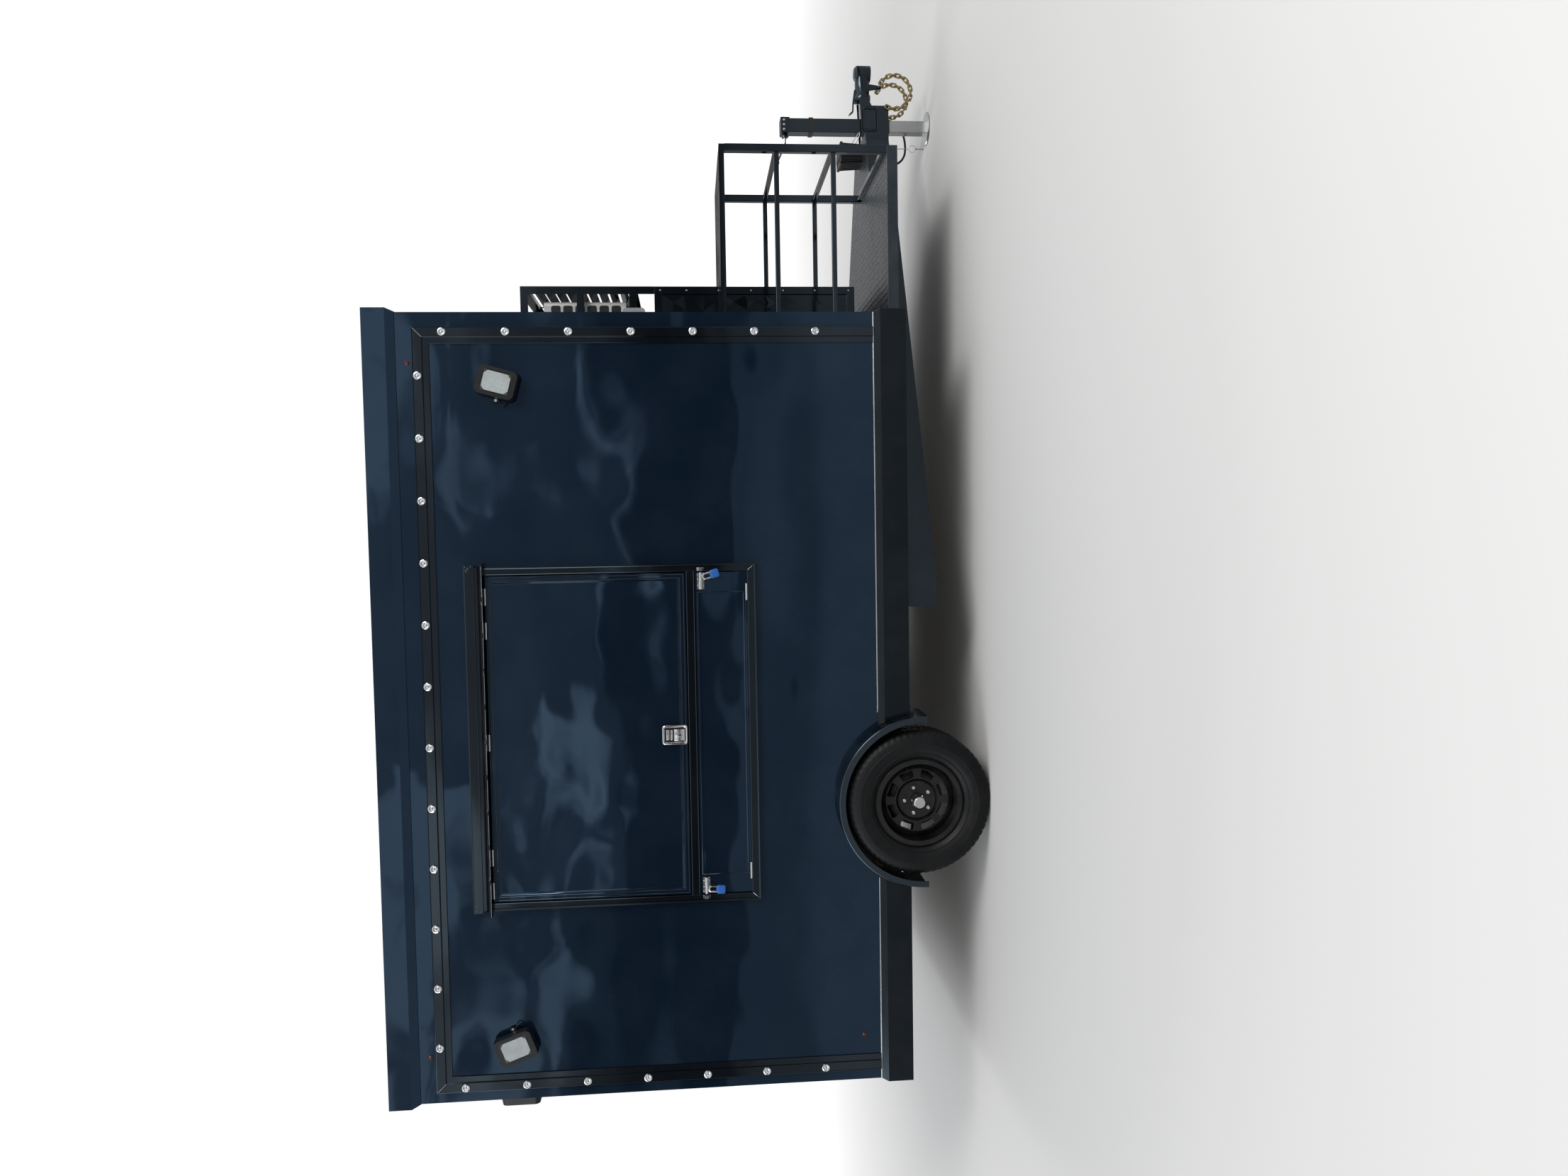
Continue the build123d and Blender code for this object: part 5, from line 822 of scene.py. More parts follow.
# The lock: outlines as (less than the plate, corner, z), and blocks between two corners with their edge
LOCK_PLATE = span["paddle_latch"]
LOCK_RIM = ((0.0, 0.014, -0.004), (0.0, 0.014, 0.0040), (0.003, 0.013, 0.0062), (0.008, 0.011, 0.0072),
            (0.014, 0.009, 0.0062), (0.019, 0.007, 0.0014), (0.022, 0.006, 0.0006))
# a black ring just round the rim: painted shadow of the rim on the hatch
LOCK_SHADOW_RING = ((-0.006, 0.016, 0.0), (-0.005, 0.016, 0.0016), (0.001, 0.014, 0.0016), (0.001, 0.014, 0.0))
LOCK_GRIPS = (
    ((-0.024, 0.010, 0.0004), (0.024, 0.020, 0.0040), 0.0016),          # lower edge of the finger recess
    ((-0.024, 0.026, 0.0004), (0.024, 0.040, 0.0028), 0.0012),          # its back
    ((-0.027, -0.045, 0.0004), (0.027, 0.004, 0.0064), 0.0024))         # paddle
# Black blocks: painted shade on the plate's floor, in the key slot and in the finger recess's gap
LOCK_PAINTED_SHADE = (
    ((-0.033, -0.047, 0.0002), (0.033, 0.0475, 0.0011), 0.0),           # floor of the plate
    ((-0.0012, -0.0262, 0.0080), (0.0012, -0.0178, 0.0084), 0.0),       # key slot
    ((-0.0245, 0.0212, 0.0004), (0.0245, 0.0248, 0.0024), 0.0))         # gap of the finger recess
KEY_BARREL = ((0.0, 0.0020), (0.0072, 0.0020), (0.0080, 0.0012), (0.0105, 0.0010), (0.0115, 0.0))
KEY_PLACE = (0.0, -0.022, 0.0060)


def paddle_lock():
    """The recessed lock: rounded rim, finger recess above and the square paddle with its key barrel below."""
    low, high = LOCK_PLATE
    place = upright((halfway(low.x, high.x), FACE_Y, halfway(low.z, high.z)), (0, -1, 0))
    width, height = high.x - low.x, high.z - low.z

    def draw(bm):
        stepped_plate(bm, place, less_by(width, height, LOCK_RIM))
        for near, far, edge in LOCK_GRIPS:
            block(bm, near, far, edge, place)
        turned(bm, KEY_BARREL, place @ Matrix.Translation(KEY_PLACE), 24)
    piece("paddle_lock_plate", "hatch", bright_chrome, draw, replaced=["paddle_latch"])

    # Black pieces: painted shade in the recess, the key slot and the finger gap, and a painted shadow round
    # the rim.
    def draw_painted_shade(bm):
        for near, far, edge in LOCK_PAINTED_SHADE:
            block(bm, near, far, edge, place)
        stepped_plate(bm, place, less_by(width, height, LOCK_SHADOW_RING), ring=True)
    piece("paddle_lock_painted_shade", "hatch", black_mould, draw_painted_shade)


BOLT_Z = SHELF[HIGH].z - 0.025
BOLT_FACE = FACE_Y - 0.003
BOLT_KNOB = ((0.0, 0.0090), (0.0030, 0.0088), (0.0036, 0.0070), (0.0024, 0.0050), (0.0024, -0.004))
SHELF_ENDS = tuple(zip((SHELF[LOW].x, SHELF[HIGH].x), INWARD))


def bolt_screws():
    """Screws in the plates of the barrel bolts and keepers, and the knob on each bar."""
    def draw_plates(bm):
        for end, inward in SHELF_ENDS:
            for along in (0.010, 0.032, 0.060):
                for rise in (-0.0125, 0.0125):
                    screw(bm, (end + inward * along, BOLT_FACE, BOLT_Z + rise), (0, -1, 0), 0.9)
            knob = facing((end + inward * 0.034, BOLT_FACE - 0.010, BOLT_Z), (0, -0.8, -0.6))
            turned(bm, BOLT_KNOB, knob, 12)
    piece("bolt_screws_and_knobs", "shelf", bright_chrome, draw_plates)

    def draw_keepers(bm):
        for end, inward in SHELF_ENDS:
            for rise in (-0.0135, 0.0135):
                screw(bm, (end - inward * 0.0140, BOLT_FACE, BOLT_Z + rise), (0, -1, 0), 0.7)
    piece("keeper_screws", "trailer", bright_chrome, draw_keepers)


LOCK_TILTS = (radians(-4), radians(17))
LOCK_SIDE = 0.040
SHACKLE_ARCH = 0.012
SHACKLE_R = 0.0036


def hanging_padlocks():
    """A blue padlock under each barrel bolt, tilted on its bright shackle."""
    low, high = span["padlocks"]
    deep = high.y - low.y
    half = LOCK_SIDE / 2
    rise = high.z - low.z - half - 0.004        # from a padlock's middle to the top of its shackle
    levels = ((0.006, 0.006, 0.0), (0.0, 0.009, 0.003), (0.0, 0.009, deep - 0.004),
              (0.005, 0.007, deep - 0.001), (0.012, 0.005, deep))

    def places():
        for x, tilt in zip((low.x + half - 0.0005, high.x - half + 0.0005), LOCK_TILTS):
            hung = upright((x, high.y, low.z + half), (0, -1, 0)) @ Matrix.Translation((0, rise, 0))
            yield hung @ Matrix.Rotation(tilt, 4, "Z") @ Matrix.Translation((0, -rise, 0))

    def draw_bodies(bm):
        for place in places():
            stepped_plate(bm, place, less_by(LOCK_SIDE, LOCK_SIDE, levels))
            block(bm, (-0.015, 0.010, 0.001), (0.015, half + 0.003, deep - 0.002), 0.003, place)
    piece("padlock_bodies", "shelf", lock_plastic, draw_bodies, replaced=["padlocks"])

    def draw_shackles(bm):
        for place in places():
            bend = [(SHACKLE_ARCH * cos(a), rise - SHACKLE_ARCH + SHACKLE_ARCH * sin(a))
                    for a in half_turn(8)]
            line = [(SHACKLE_ARCH, 0.012)] + bend + [(-SHACKLE_ARCH, 0.012)]
            bent_rod(bm, [place @ Vector((u, v, deep / 2)) for u, v in line], SHACKLE_R, 10)
    piece("padlock_shackles", "shelf", bright_chrome, draw_shackles)


# Tyres
TYRE_STEPS = 256
GROOVE = 0.008
LUG_STEPS = 4                           # steps of the tread pattern round the tyre for one lug
CUT_SHARE = {"wall": 0.0, "rib": 0.35, "lug": 0.45}     # share of the groove's depth cut between two lugs
PROFILE_HALF = 0.1075                   # half of the width that the profile is given for
SIDEWALL = (                            # (radius, across)
    (0.1950, 0.0760), (0.2120, 0.0770), (0.2160, 0.0840), (0.2230, 0.0905), (0.2330, 0.0955),
    (0.2345, 0.0975), (0.2385, 0.0985), (0.2400, 0.0970), (0.2530, 0.1030), (0.2670, 0.1062),
    (0.2800, 0.1068), (0.2815, 0.1074), (0.2860, 0.1070), (0.2875, 0.1058), (0.3020, 0.1035),
    (0.3140, 0.0995))
SHOULDER_R = 0.3200
TREAD = (                               # (below the tyre's radius, across, kind)
    (0.0090, 0.0880, "lug"), (0.0030, 0.0800, "lug"), (0.0, 0.0700, "lug"), (0.0, 0.0480, "lug"),
    (GROOVE, 0.0470, "wall"), (GROOVE, 0.0400, "wall"), (0.0, 0.0390, "rib"), (0.0, 0.0130, "rib"),
    (GROOVE, 0.0120, "wall"), (GROOVE, 0.0050, "wall"), (0.0, 0.0040, "rib"))


def tyre_profile(half):
    """(radius, across, kind) from the outer bead over the tread to the inner bead."""
    outline = [(radius, y, "wall") for radius, y in SIDEWALL] + [(SHOULDER_R, 0.0972, "lug")]
    outline += [(TYRE_R - drop, y, kind) for drop, y, kind in TREAD]
    share = half / PROFILE_HALF
    one = [(radius, y * share, kind) for radius, y, kind in outline]
    return one + [(radius, -y, kind) for radius, y, kind in reversed(one)]


def draw_tyre(name):
    """Sidewall rings, shoulder lugs and ribs, all in one closed surface."""
    low, high = span[f"tyre_{name}"]
    middle_y = halfway(low.y, high.y)
    profile = tyre_profile((high.y - low.y) / 2)

    def draw(bm):
        rings = []
        for radius, y, kind in profile:
            shift = 0 if y > 0 else LUG_STEPS // 2
            ring = []
            for i, turn in enumerate(whole_turn(TYRE_STEPS)):
                between = (i + shift) % LUG_STEPS == 0
                r = radius - GROOVE * CUT_SHARE[kind] * between
                ring.append(bm.verts.new((AXLE_X + r * sin(turn), middle_y + y, TYRE_R + r * cos(turn))))
            rings.append(ring)
        join_rings(bm, rings, closed=True)
    return draw


def tyres():
    for name in SIDES:
        piece(f"treaded_tyre_{name}", f"wheel_{name}", tyre_rubber, draw_tyre(name),
              replaced=[f"tyre_{name}"], sharp=28)


def valve_stems():
    """A rubber valve with its cap, standing out of each rim's well."""
    for name, side in SIDES.items():
        low, high = span[f"rim_{name}"]
        face = low.y if side < 0 else high.y
        root = Vector((AXLE_X + 0.158, face - side * 0.060, TYRE_R + 0.07))
        tip = root + Vector((-0.012, side * 0.036, -0.004))

        def draw(bm):
            bent_rod(bm, [root, halfway(root, tip), tip], 0.0042, 10)
            bent_rod(bm, [tip, tip + (tip - root).normalized() * 0.010], 0.0050, 8)
        piece(f"valve_stem_{name}", f"wheel_{name}", black_mould, draw)


# Porch
LUG_PITCH = 0.034
LUG_LONG = 0.0125
LUG_WIDE = 0.0042
LUG_HIGH = 0.0013
LUG_OUTLINE = ((-LUG_LONG, 0), (-LUG_LONG / 2, -LUG_WIDE), (LUG_LONG / 2, -LUG_WIDE), (LUG_LONG, 0),
               (LUG_LONG / 2, LUG_WIDE), (-LUG_LONG / 2, LUG_WIDE))
CREST_LONG, CREST_WIDE = 0.6, 0.4       # share of the outline that the lug's top keeps
NOSE_HALF = 0.182                       # half of the deck's width at its front edge
NOSE_SLOPE = tan(radians(25))
DECK_MARGIN = 0.014


def on_deck(x, y):
    """Whether a point lies on the deck, clear of its edges and of what stands on it."""
    half = NOSE_HALF + (DECK[HIGH].x - x) * NOSE_SLOPE
    platform_x = span["cage_rails"][HIGH].x
    if x > DECK[HIGH].x - DECK_MARGIN or x < FRONT_X + DECK_MARGIN:
        return False
    right_edge = DECK[LOW].y if x < platform_x - DECK_MARGIN else -half
    if y > half - DECK_MARGIN or y < right_edge + DECK_MARGIN:
        return False
    low, high = span["battery_box"]
    return not (low.x < x < high.x and low.y < y < high.y)


def tread_lugs():
    """The raised pattern of the tread plate: short lugs that lie crosswise to each other."""
    columns = int((DECK[HIGH].x - FRONT_X) / LUG_PITCH) + 1
    rows = int((DECK[HIGH].y - DECK[LOW].y) / LUG_PITCH) + 1

    def draw(bm):
        for i in range(2 * columns):
            for j in range(i % 2, 2 * rows, 2):
                x = FRONT_X + i * LUG_PITCH / 2
                y = DECK[LOW].y + j * LUG_PITCH / 2
                if not on_deck(x, y):
                    continue
                lean = pi / 4 if i % 2 else -pi / 4
                place = Matrix.Translation((x, y, DECK[HIGH].z)) @ Matrix.Rotation(lean, 4, "Z")
                foot = [bm.verts.new(place @ Vector((u, v, 0))) for u, v in LUG_OUTLINE]
                crest = [bm.verts.new(place @ Vector((u * CREST_LONG, v * CREST_WIDE, LUG_HIGH)))
                         for u, v in LUG_OUTLINE]
                join_rings(bm, [foot, crest])
                bm.faces.new(crest)
    piece("deck_tread_lugs", "trailer", worn_glinting_lugs, draw, sharp=60)


# Cabinet
SHEET_EDGE = 0.046                      # the cabinet's corner angles show this far round each sheet
SHEET_BACK = 0.0036
SHEET_RELIEF = 0.0032
SHEET_ROWS = 18
DOOR_GAP = 0.016                        # from the middle of the front to each door's sheet
FACET_STEPS = (1.7, 2.3, 3.1)           # how far apart neighbouring corners draw their shift
FACET_DRIFT = 0.42                      # largest sideways shift, as a share of one facet
FACET_SEED = 5
CABINET_SCREWS = (0.03, 0.2, 0.36, 0.52, 0.68, 0.84, 0.97)      # share of the way up
HINGE_SHARES = (0.12, 0.5, 0.88)


def faceted_panel(bm, corner, along, up, out, seed, columns):
    """A sheet broken into flat triangles that lean in different ways."""
    step_u, step_v, step_seed = FACET_STEPS

    def point(i, j):
        inside = 0 < i < columns and 0 < j < SHEET_ROWS
        place = Vector((i * step_u + seed, j * step_v, seed * step_seed))
        shift = noise.noise_vector(place) if inside else Vector((0, 0, 0))
        lift = SHEET_RELIEF * (0.5 + 0.5 * noise.noise(place * 2.0)) if inside else 0.0
        share_u = (i + FACET_DRIFT * shift.x) / columns
        share_v = (j + FACET_DRIFT * shift.y) / SHEET_ROWS
        return bm.verts.new(corner + along * share_u + up * share_v + out * lift)
    grid = [[point(i, j) for j in range(SHEET_ROWS + 1)] for i in range(columns + 1)]
    for i in range(columns):
        for j in range(SHEET_ROWS):
            a, b, c, d = grid[i][j], grid[i + 1][j], grid[i + 1][j + 1], grid[i][j + 1]
            for corners in (((a, b, c), (a, c, d)) if (i + j) % 2 else ((a, b, d), (b, c, d))):
                bm.faces.new(corners)


def cabinet_sheets():
    """The patterned black sheets on the cabinet's sides and doors."""
    noise.seed_set(FACET_SEED)
    low, high = span["utility_cabinet"]
    foot = low.z + SHEET_EDGE
    up = Z_AXIS * (high.z - low.z - 2 * SHEET_EDGE)
    deep = X_AXIS * (high.x - low.x - 2 * SHEET_EDGE)
    middle = halfway(low.y, high.y)
    sides = ((1.0, low.y + SHEET_BACK, -Y_AXIS), (2.0, high.y - SHEET_BACK, Y_AXIS))
    doors = ((3.0, low.y + SHEET_EDGE, middle - DOOR_GAP), (4.0, middle + DOOR_GAP, high.y - SHEET_EDGE))

    def draw(bm):
        for seed, y, out in sides:
            faceted_panel(bm, Vector((low.x + SHEET_EDGE, y, foot)), deep, up, out, seed, 5)
        for seed, y0, y1 in doors:
            corner = Vector((high.x - SHEET_BACK, y0, foot))
            faceted_panel(bm, corner, Y_AXIS * (y1 - y0), up, X_AXIS, seed, 8)
    piece("cabinet_patterned_sheets", "trailer", black_panel, draw, sharp=1)


def cabinet_screws():
    """Screws up the cabinet's corner angles."""
    low, high = span["utility_cabinet"]
    inset, size = 0.02, 1.3

    def draw(bm):
        for share in CABINET_SCREWS:
            z = low.z + share * (high.z - low.z)
            for x in (low.x + inset, high.x - inset):
                screw(bm, (x, low.y, z), (0, -1, 0), size)
                screw(bm, (x, high.y, z), (0, 1, 0), size)
            for y in (low.y + inset, high.y - inset):
                screw(bm, (high.x, y, z), (1, 0, 0), size)
    piece("cabinet_screws", "trailer", bright_chrome, draw)


# Trailer cable
CABLE_THICK = 0.012
CABLE_ROUTE = (
    (2.140, 0.076, 0.225), (2.140, 0.076, 0.180), (2.164, 0.088, 0.134), (2.208, 0.103, 0.107),
    (2.268, 0.110, 0.103), (2.330, 0.112, 0.114), (2.382, 0.111, 0.148), (2.410, 0.108, 0.206),
    (2.412, 0.103, 0.282), (2.398, 0.095, 0.372), (2.374, 0.085, 0.462), (2.350, 0.076, 0.542),
    (2.350, 0.076, 0.604))


def trailer_cable():
    """The cable from its gland under the tongue, down in a loop and up to its parked plug."""
    line = bpy.data.curves.new("trailer_cable_line", "CURVE")
    line.dimensions = "3D"
    line.bevel_depth = CABLE_THICK / 2
    line.bevel_resolution = 4
    line.use_fill_caps = True
    spline = line.splines.new("NURBS")
    spline.points.add(len(CABLE_ROUTE) - 1)
    for point, place in zip(spline.points, CABLE_ROUTE):
        point.co = (*place, 1.0)
    spline.order_u = 3
    spline.use_endpoint_u = True
    spline.resolution_u = 10
    line.materials.append(cable_rubber)
    cable = set_up("hanging_trailer_cable", line)
    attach(cable, "trailer")
    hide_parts("trailer_cable")


# Floodlights
FLOOD_TURNS = {"rear": 0.0, "aft": radians(20), "fore": radians(-15)}
BOARD_SHARE = 0.985                     # of the glass
BOARD_BACK = 0.0012
CELL_COLUMNS, CELL_ROWS = 4, 6
CELL_STEP = (0.225, 0.152)              # from one cell to the next, as shares of the board
CELL_HALF = (0.085, 0.055)              # half of a cell, as shares of the board
RIM_LEVELS = (                          # (share of width, share of height, corner, above the glass)
    (1.13, 1.09, 0.022, -0.001), (1.11, 1.07, 0.021, 0.0002), (0.995, 0.995, 0.012, 0.0002),
    (0.985, 0.985, 0.012, -0.001))
WIRE_LINE = (
    (0.052, -0.024, -0.036), (0.076, -0.026, -0.034), (0.089, -0.036, -0.036), (0.091, -0.050, -0.040),
    (0.080, -0.062, -0.044), (0.060, -0.060, -0.048), (0.045, -0.048, -0.050))
TOWARDS_MIDDLE = (1, -1)                # of the wall, from each of its two floodlights


def flood_faces():
    """Place and size of each floodlight's glass: the rear one, then the two on the long wall."""
    corners = [v.co.copy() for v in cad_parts["flood_lenses"].data.vertices]
    beside = [c for c in corners if c.x >= REAR_X - HAIR]
    split = halfway(min(c.x for c in beside), max(c.x for c in beside))
    groups = {"rear": [c for c in corners if c.x < REAR_X - HAIR], "aft": [c for c in beside if c.x < split],
              "fore": [c for c in beside if c.x >= split]}
    for name, points in groups.items():
        out = -X_AXIS if name == "rear" else -Y_AXIS
        place = upright(sum(points, Vector()) / len(points), out, FLOOD_TURNS[name])
        local = [place.inverted() @ p for p in points]
        yield place, [max(p[i] for p in local) - min(p[i] for p in local) for i in range(3)]


def wall_floods():
    """The two on the long wall."""
    return list(flood_faces())[1:]


def flood_fittings():
    """The pale board with its cells behind each floodlight's glass, and the two side lamps' black rims."""
    def draw_boards(bm):
        for place, (width, height, thick) in flood_faces():
            top = thick / 2 - BOARD_BACK
            wide, tall = width * BOARD_SHARE, height * BOARD_SHARE
            stepped_plate(bm, place, [(wide, tall, 0.016, top - 0.0006), (wide, tall, 0.016, top)], steps=1)
            half_u, half_v = wide * CELL_HALF[0], tall * CELL_HALF[1]
            for i in range(CELL_COLUMNS):
                for j in range(CELL_ROWS):
                    u = (i - (CELL_COLUMNS - 1) / 2) * wide * CELL_STEP[0]
                    v = (j - (CELL_ROWS - 1) / 2) * tall * CELL_STEP[1]
                    low, high = (u - half_u, v - half_v, top), (u + half_u, v + half_v, top + 0.0005)
                    block(bm, low, high, 0.0002, place)
    piece("floodlight_boards", "trailer", lamp_board, draw_boards)

    def draw_rims(bm):
        for place, (width, height, thick) in wall_floods():
            levels = [(width * u, height * v, corner, thick / 2 + rise) for u, v, corner, rise in RIM_LEVELS]
            stepped_plate(bm, place, levels, steps=1, ring=True)
    piece("floodlight_rims", "trailer", black_gloss, draw_rims)


def flood_wires():
    """Beside each floodlight on the long wall, a short looped wire and its bracket with a bright bolt."""
    places = [place for place, _ in wall_floods()]

    def draw_wires(bm):
        for place, side in zip(places, TOWARDS_MIDDLE):
            bent_rod(bm, [place @ Vector((side * u, v, w)) for u, v, w in WIRE_LINE], 0.0028, 8)
            near, far = across(side, 0.058, 0.084)
            block(bm, (near, -0.022, -0.046), (far, 0.002, -0.042), HAIR, place)
    piece("floodlight_wires", "trailer", black_mould, draw_wires)

    def draw_bolts(bm):
        for place, side in zip(places, TOWARDS_MIDDLE):
            turned(bm, BOLT_HEAD, place @ Matrix.Translation((side * 0.076, -0.012, -0.0424)), 6)
    piece("floodlight_bolts", "trailer", bright_chrome, draw_bolts)


# Tongue
JACK_X = halfway(span["jack_leg"][LOW].x, span["jack_leg"][HIGH].x)
JACK_TOP = 0.843
COLLAR_HALF = 0.043
CRANK_Z = JACK_TOP - 0.026
CRANK_X = 2.145
GRIP_Z = span["jack_tube"][HIGH].z - 0.013
CRANK_LINE = (
    (2.262, 0.0, CRANK_Z), (2.238, 0.0005, CRANK_Z + 0.0004), (2.222, 0.0022, CRANK_Z + 0.003),
    (2.186, 0.015, CRANK_Z + 0.020), (2.152, 0.0275, CRANK_Z + 0.0365), (CRANK_X + 0.001, 0.034, GRIP_Z),
    (CRANK_X, 0.044, GRIP_Z), (CRANK_X, 0.060, GRIP_Z))
GRIP_RIBS = 12
GRIP_PITCH = 0.008
TONGUE_FOOT = span["tongue_frame"][LOW].z
NOSE_X, NOSE_Z = 2.352, 0.336           # middle of the side plates
NOSE_LINE = ((0.0, 0.016, -0.0005), (0.003, 0.015, 0.0014), (0.007, 0.013, 0.0014), (0.010, 0.012, -0.0005))
LINK_PITCH = 0.0078
LINK_WIDE, LINK_TALL = 0.0028, 0.0054   # half of a fine link's middle line
PIN_RING = 0.019
PIN_COLLAR = ((0.0, 0.004), (0.0052, 0.003), (0.0052, -0.003), (0.0, -0.004))


def jack_fittings():
    """Bright bolts round the jack's cap, the plated crank and its ribbed grip."""
    def draw_bolts(bm):
        z = JACK_TOP - 0.020
        for shift in (-0.026, 0.0, 0.026):
            for side in SIDES.values():
                turned(bm, BOLT_HEAD, facing((JACK_X + shift, side * COLLAR_HALF, z), (0, side, 0)), 6)
            turned(bm, BOLT_HEAD, facing((JACK_X + COLLAR_HALF, shift, z), (1, 0, 0)), 6)
    piece("jack_cap_bolts", "trailer", bright_chrome, draw_bolts)

    def draw_crank(bm):
        bent_rod(bm, CRANK_LINE, 0.0084, 12)
    piece("jack_plated_crank", "trailer", leg_steel, draw_crank)

    def draw_grip(bm):
        profile = [(0.0, -0.0005), (0.0118, 0.0), (0.0132, 0.003)]
        for i in range(GRIP_RIBS):
            profile += [(0.0138, 0.006 + i * GRIP_PITCH), (0.0132, 0.0095 + i * GRIP_PITCH)]
        profile += [(0.0120, 0.1085), (0.0, 0.1098)]
        turned(bm, profile, facing((CRANK_X, 0.056, GRIP_Z), (0, 1, 0)), 20)
    piece("jack_crank_grip", "trailer", grey_mould, draw_grip)


def nose_outline():
    """The pressed line on each side plate of the nose."""
    face = max(v.co.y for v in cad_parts["tongue_frame"].data.vertices if v.co.x > 2.30)

    def draw(bm, side):
        place = upright((NOSE_X, side * face, NOSE_Z), (0, side, 0))
        stepped_plate(bm, place, less_by(0.128, 0.082, NOSE_LINE), ring=True)
    piece("nose_pressed_lines", "trailer", black_gloss, both_sides(draw))


def small_chain(bm, top, links):
    """Fine links hanging straight down from top; gives back the last link's foot."""
    for i in range(links):
        centre = top - Z_AXIS * (i + 0.5) * LINK_PITCH
        turn = Matrix.Rotation(pi / 2 * (i % 2), 3, "Z")
        points = [centre + turn @ Vector((LINK_WIDE * sin(a), 0, LINK_TALL * cos(a))) for a in whole_turn(8)]
        bead_loop(bm, points, turn @ Y_AXIS, 0.0008, 5)
    return top - Z_AXIS * links * LINK_PITCH


def hanging_pins():
    """A ring pin and a cross pin, each on a fine chain under the tongue."""
    def draw(bm):
        foot = small_chain(bm, Vector((2.188, -0.060, TONGUE_FOOT + HAIR)), 15)
        centre = foot - Z_AXIS * (PIN_RING - 0.002)
        circle = [centre + Vector((PIN_RING * sin(a), 0, PIN_RING * cos(a))) for a in whole_turn(24)]
        bead_loop(bm, circle, Y_AXIS, 0.0013)
        head = centre - Z_AXIS * (PIN_RING - 0.002)
        bent_rod(bm, [head, head - Z_AXIS * 0.050], 0.0030, 10)
        turned(bm, PIN_COLLAR, Matrix.Translation(head - Z_AXIS * 0.004), 12)
        foot = small_chain(bm, Vector((2.418, -0.050, TONGUE_FOOT + HAIR)), 6)
        bent_rod(bm, [foot + X_AXIS * 0.015, foot - X_AXIS * 0.015], 0.0030, 10)
        bent_rod(bm, [foot, foot - Z_AXIS * 0.052], 0.0034, 10)
    piece("hanging_chain_pins", "trailer", leg_steel, draw)


BAIL_LINE = ((-0.008, -0.020, 0.440), (0.010, -0.026, 0.434), (0.034, -0.040, 0.418), (0.052, -0.056, 0.404),
             (0.050, -0.072, 0.399), (0.030, -0.080, 0.402), (0.006, -0.078, 0.412), (-0.012, -0.068, 0.424))
LID_RIB = (0.044, 0.006)                # half its length and half its width


def battery_fittings():
    """Upright ribs round the battery box, ribs and hold-down on its lid, and its bent wire bail."""
    low, high = span["battery_box"]
    middle = halfway(low.x, high.x)
    half_x, half_y = (high.x - low.x) / 2, (high.y - low.y) / 2
    leans = ((0.012, low.z + 0.003), (0.006, high.z - 0.015))       # (in from the side, height)
    sunk = high.z - HAIR

    def draw(bm):
        for k in (-2, -1, 0, 1, 2):
            x, y = middle + k * 0.020, k * 0.030
            for side in SIDES.values():         # each rib leans out from its foot to the lid
                ribs = ([(x, side * (half_y - lean), z) for lean, z in leans],
                        [(middle + side * (half_x - lean), y, z) for lean, z in leans])
                for rib in ribs:
                    bent_rod(bm, rib, 0.0024, 6)
        long, wide = LID_RIB
        for y in (-0.045, 0.0, 0.045):
            block(bm, (middle - long, y - wide, sunk), (middle + long, y + wide, high.z + 0.003), HAIR)
        block(bm, (middle - 0.020, -0.080, sunk), (middle + 0.020, 0.080, high.z + 0.0016), 0.0006)
    piece("battery_box_ribs", "trailer", black_mould, draw)

    def draw_bail(bm):
        bent_rod(bm, [(high.x + x, y, z) for x, y, z in BAIL_LINE], 0.0022, 8)
    piece("battery_box_bail", "trailer", lamp_board, draw_bail)


# Air conditioner, cabinet front and rear wall
FAN_Z = 1.9285
FAN_SHIFT = 0.11                        # the fan sits this far to the right of the unit's middle
# a dark disc behind the grille: painted shade of the unit's well
FAN_SHADE_WELL = ((0.0, 0.0006), (0.171, 0.0006), (0.173, 0.0))
FAN_BLADES = 5
COIL_FOOT = 1.713 + 0.026
COIL_COLUMNS, COIL_ROWS = 3, 6
COIL_STEP = (0.058, 0.0635)
COIL_OPENING = (0.046, 0.050)
PULL_LINE = ((-0.001, -0.060), (0.016, -0.056), (0.019, 0.0), (0.016, 0.056), (-0.001, 0.060))     # (out, up)
GASKET_HALF = 0.4305
GASKET_Z = (0.5705, 2.4275)
TAIL_WIDE = 0.120
TAIL_MIDDLE = 0.060                     # from the lamp's outer edge
TAIL_RIM = ((-0.008, 0.008, -0.017), (-0.006, 0.008, -0.010), (0.002, 0.006, -0.010), (0.002, 0.006, -0.017))
PLATE_SCREW = (0.063, 0.016)            # in from the bracket's end, and up from its foot
DOOR_HINGE_Y = 0.452


def fan_and_blades():
    """A dark disc behind the fan grille, painted shade of the unit's well, and the blades."""
    low, high = span["ac_unit"]
    place = facing((high.x - 0.005, halfway(low.y, high.y) - FAN_SHIFT, FAN_Z), (1, 0, 0))

    def draw(bm):
        turned(bm, FAN_SHADE_WELL, place, 40)
        for turn in whole_turn(FAN_BLADES):
            blade = place @ Matrix.Rotation(turn, 4, "Z") @ Matrix.Rotation(radians(1.2), 4, "X")
            block(bm, (0.045, -0.034, 0.0008), (0.158, 0.034, 0.0024), 0.0005, blade)
    piece("fan_shade_well_and_blades", "trailer", black_mould, draw)


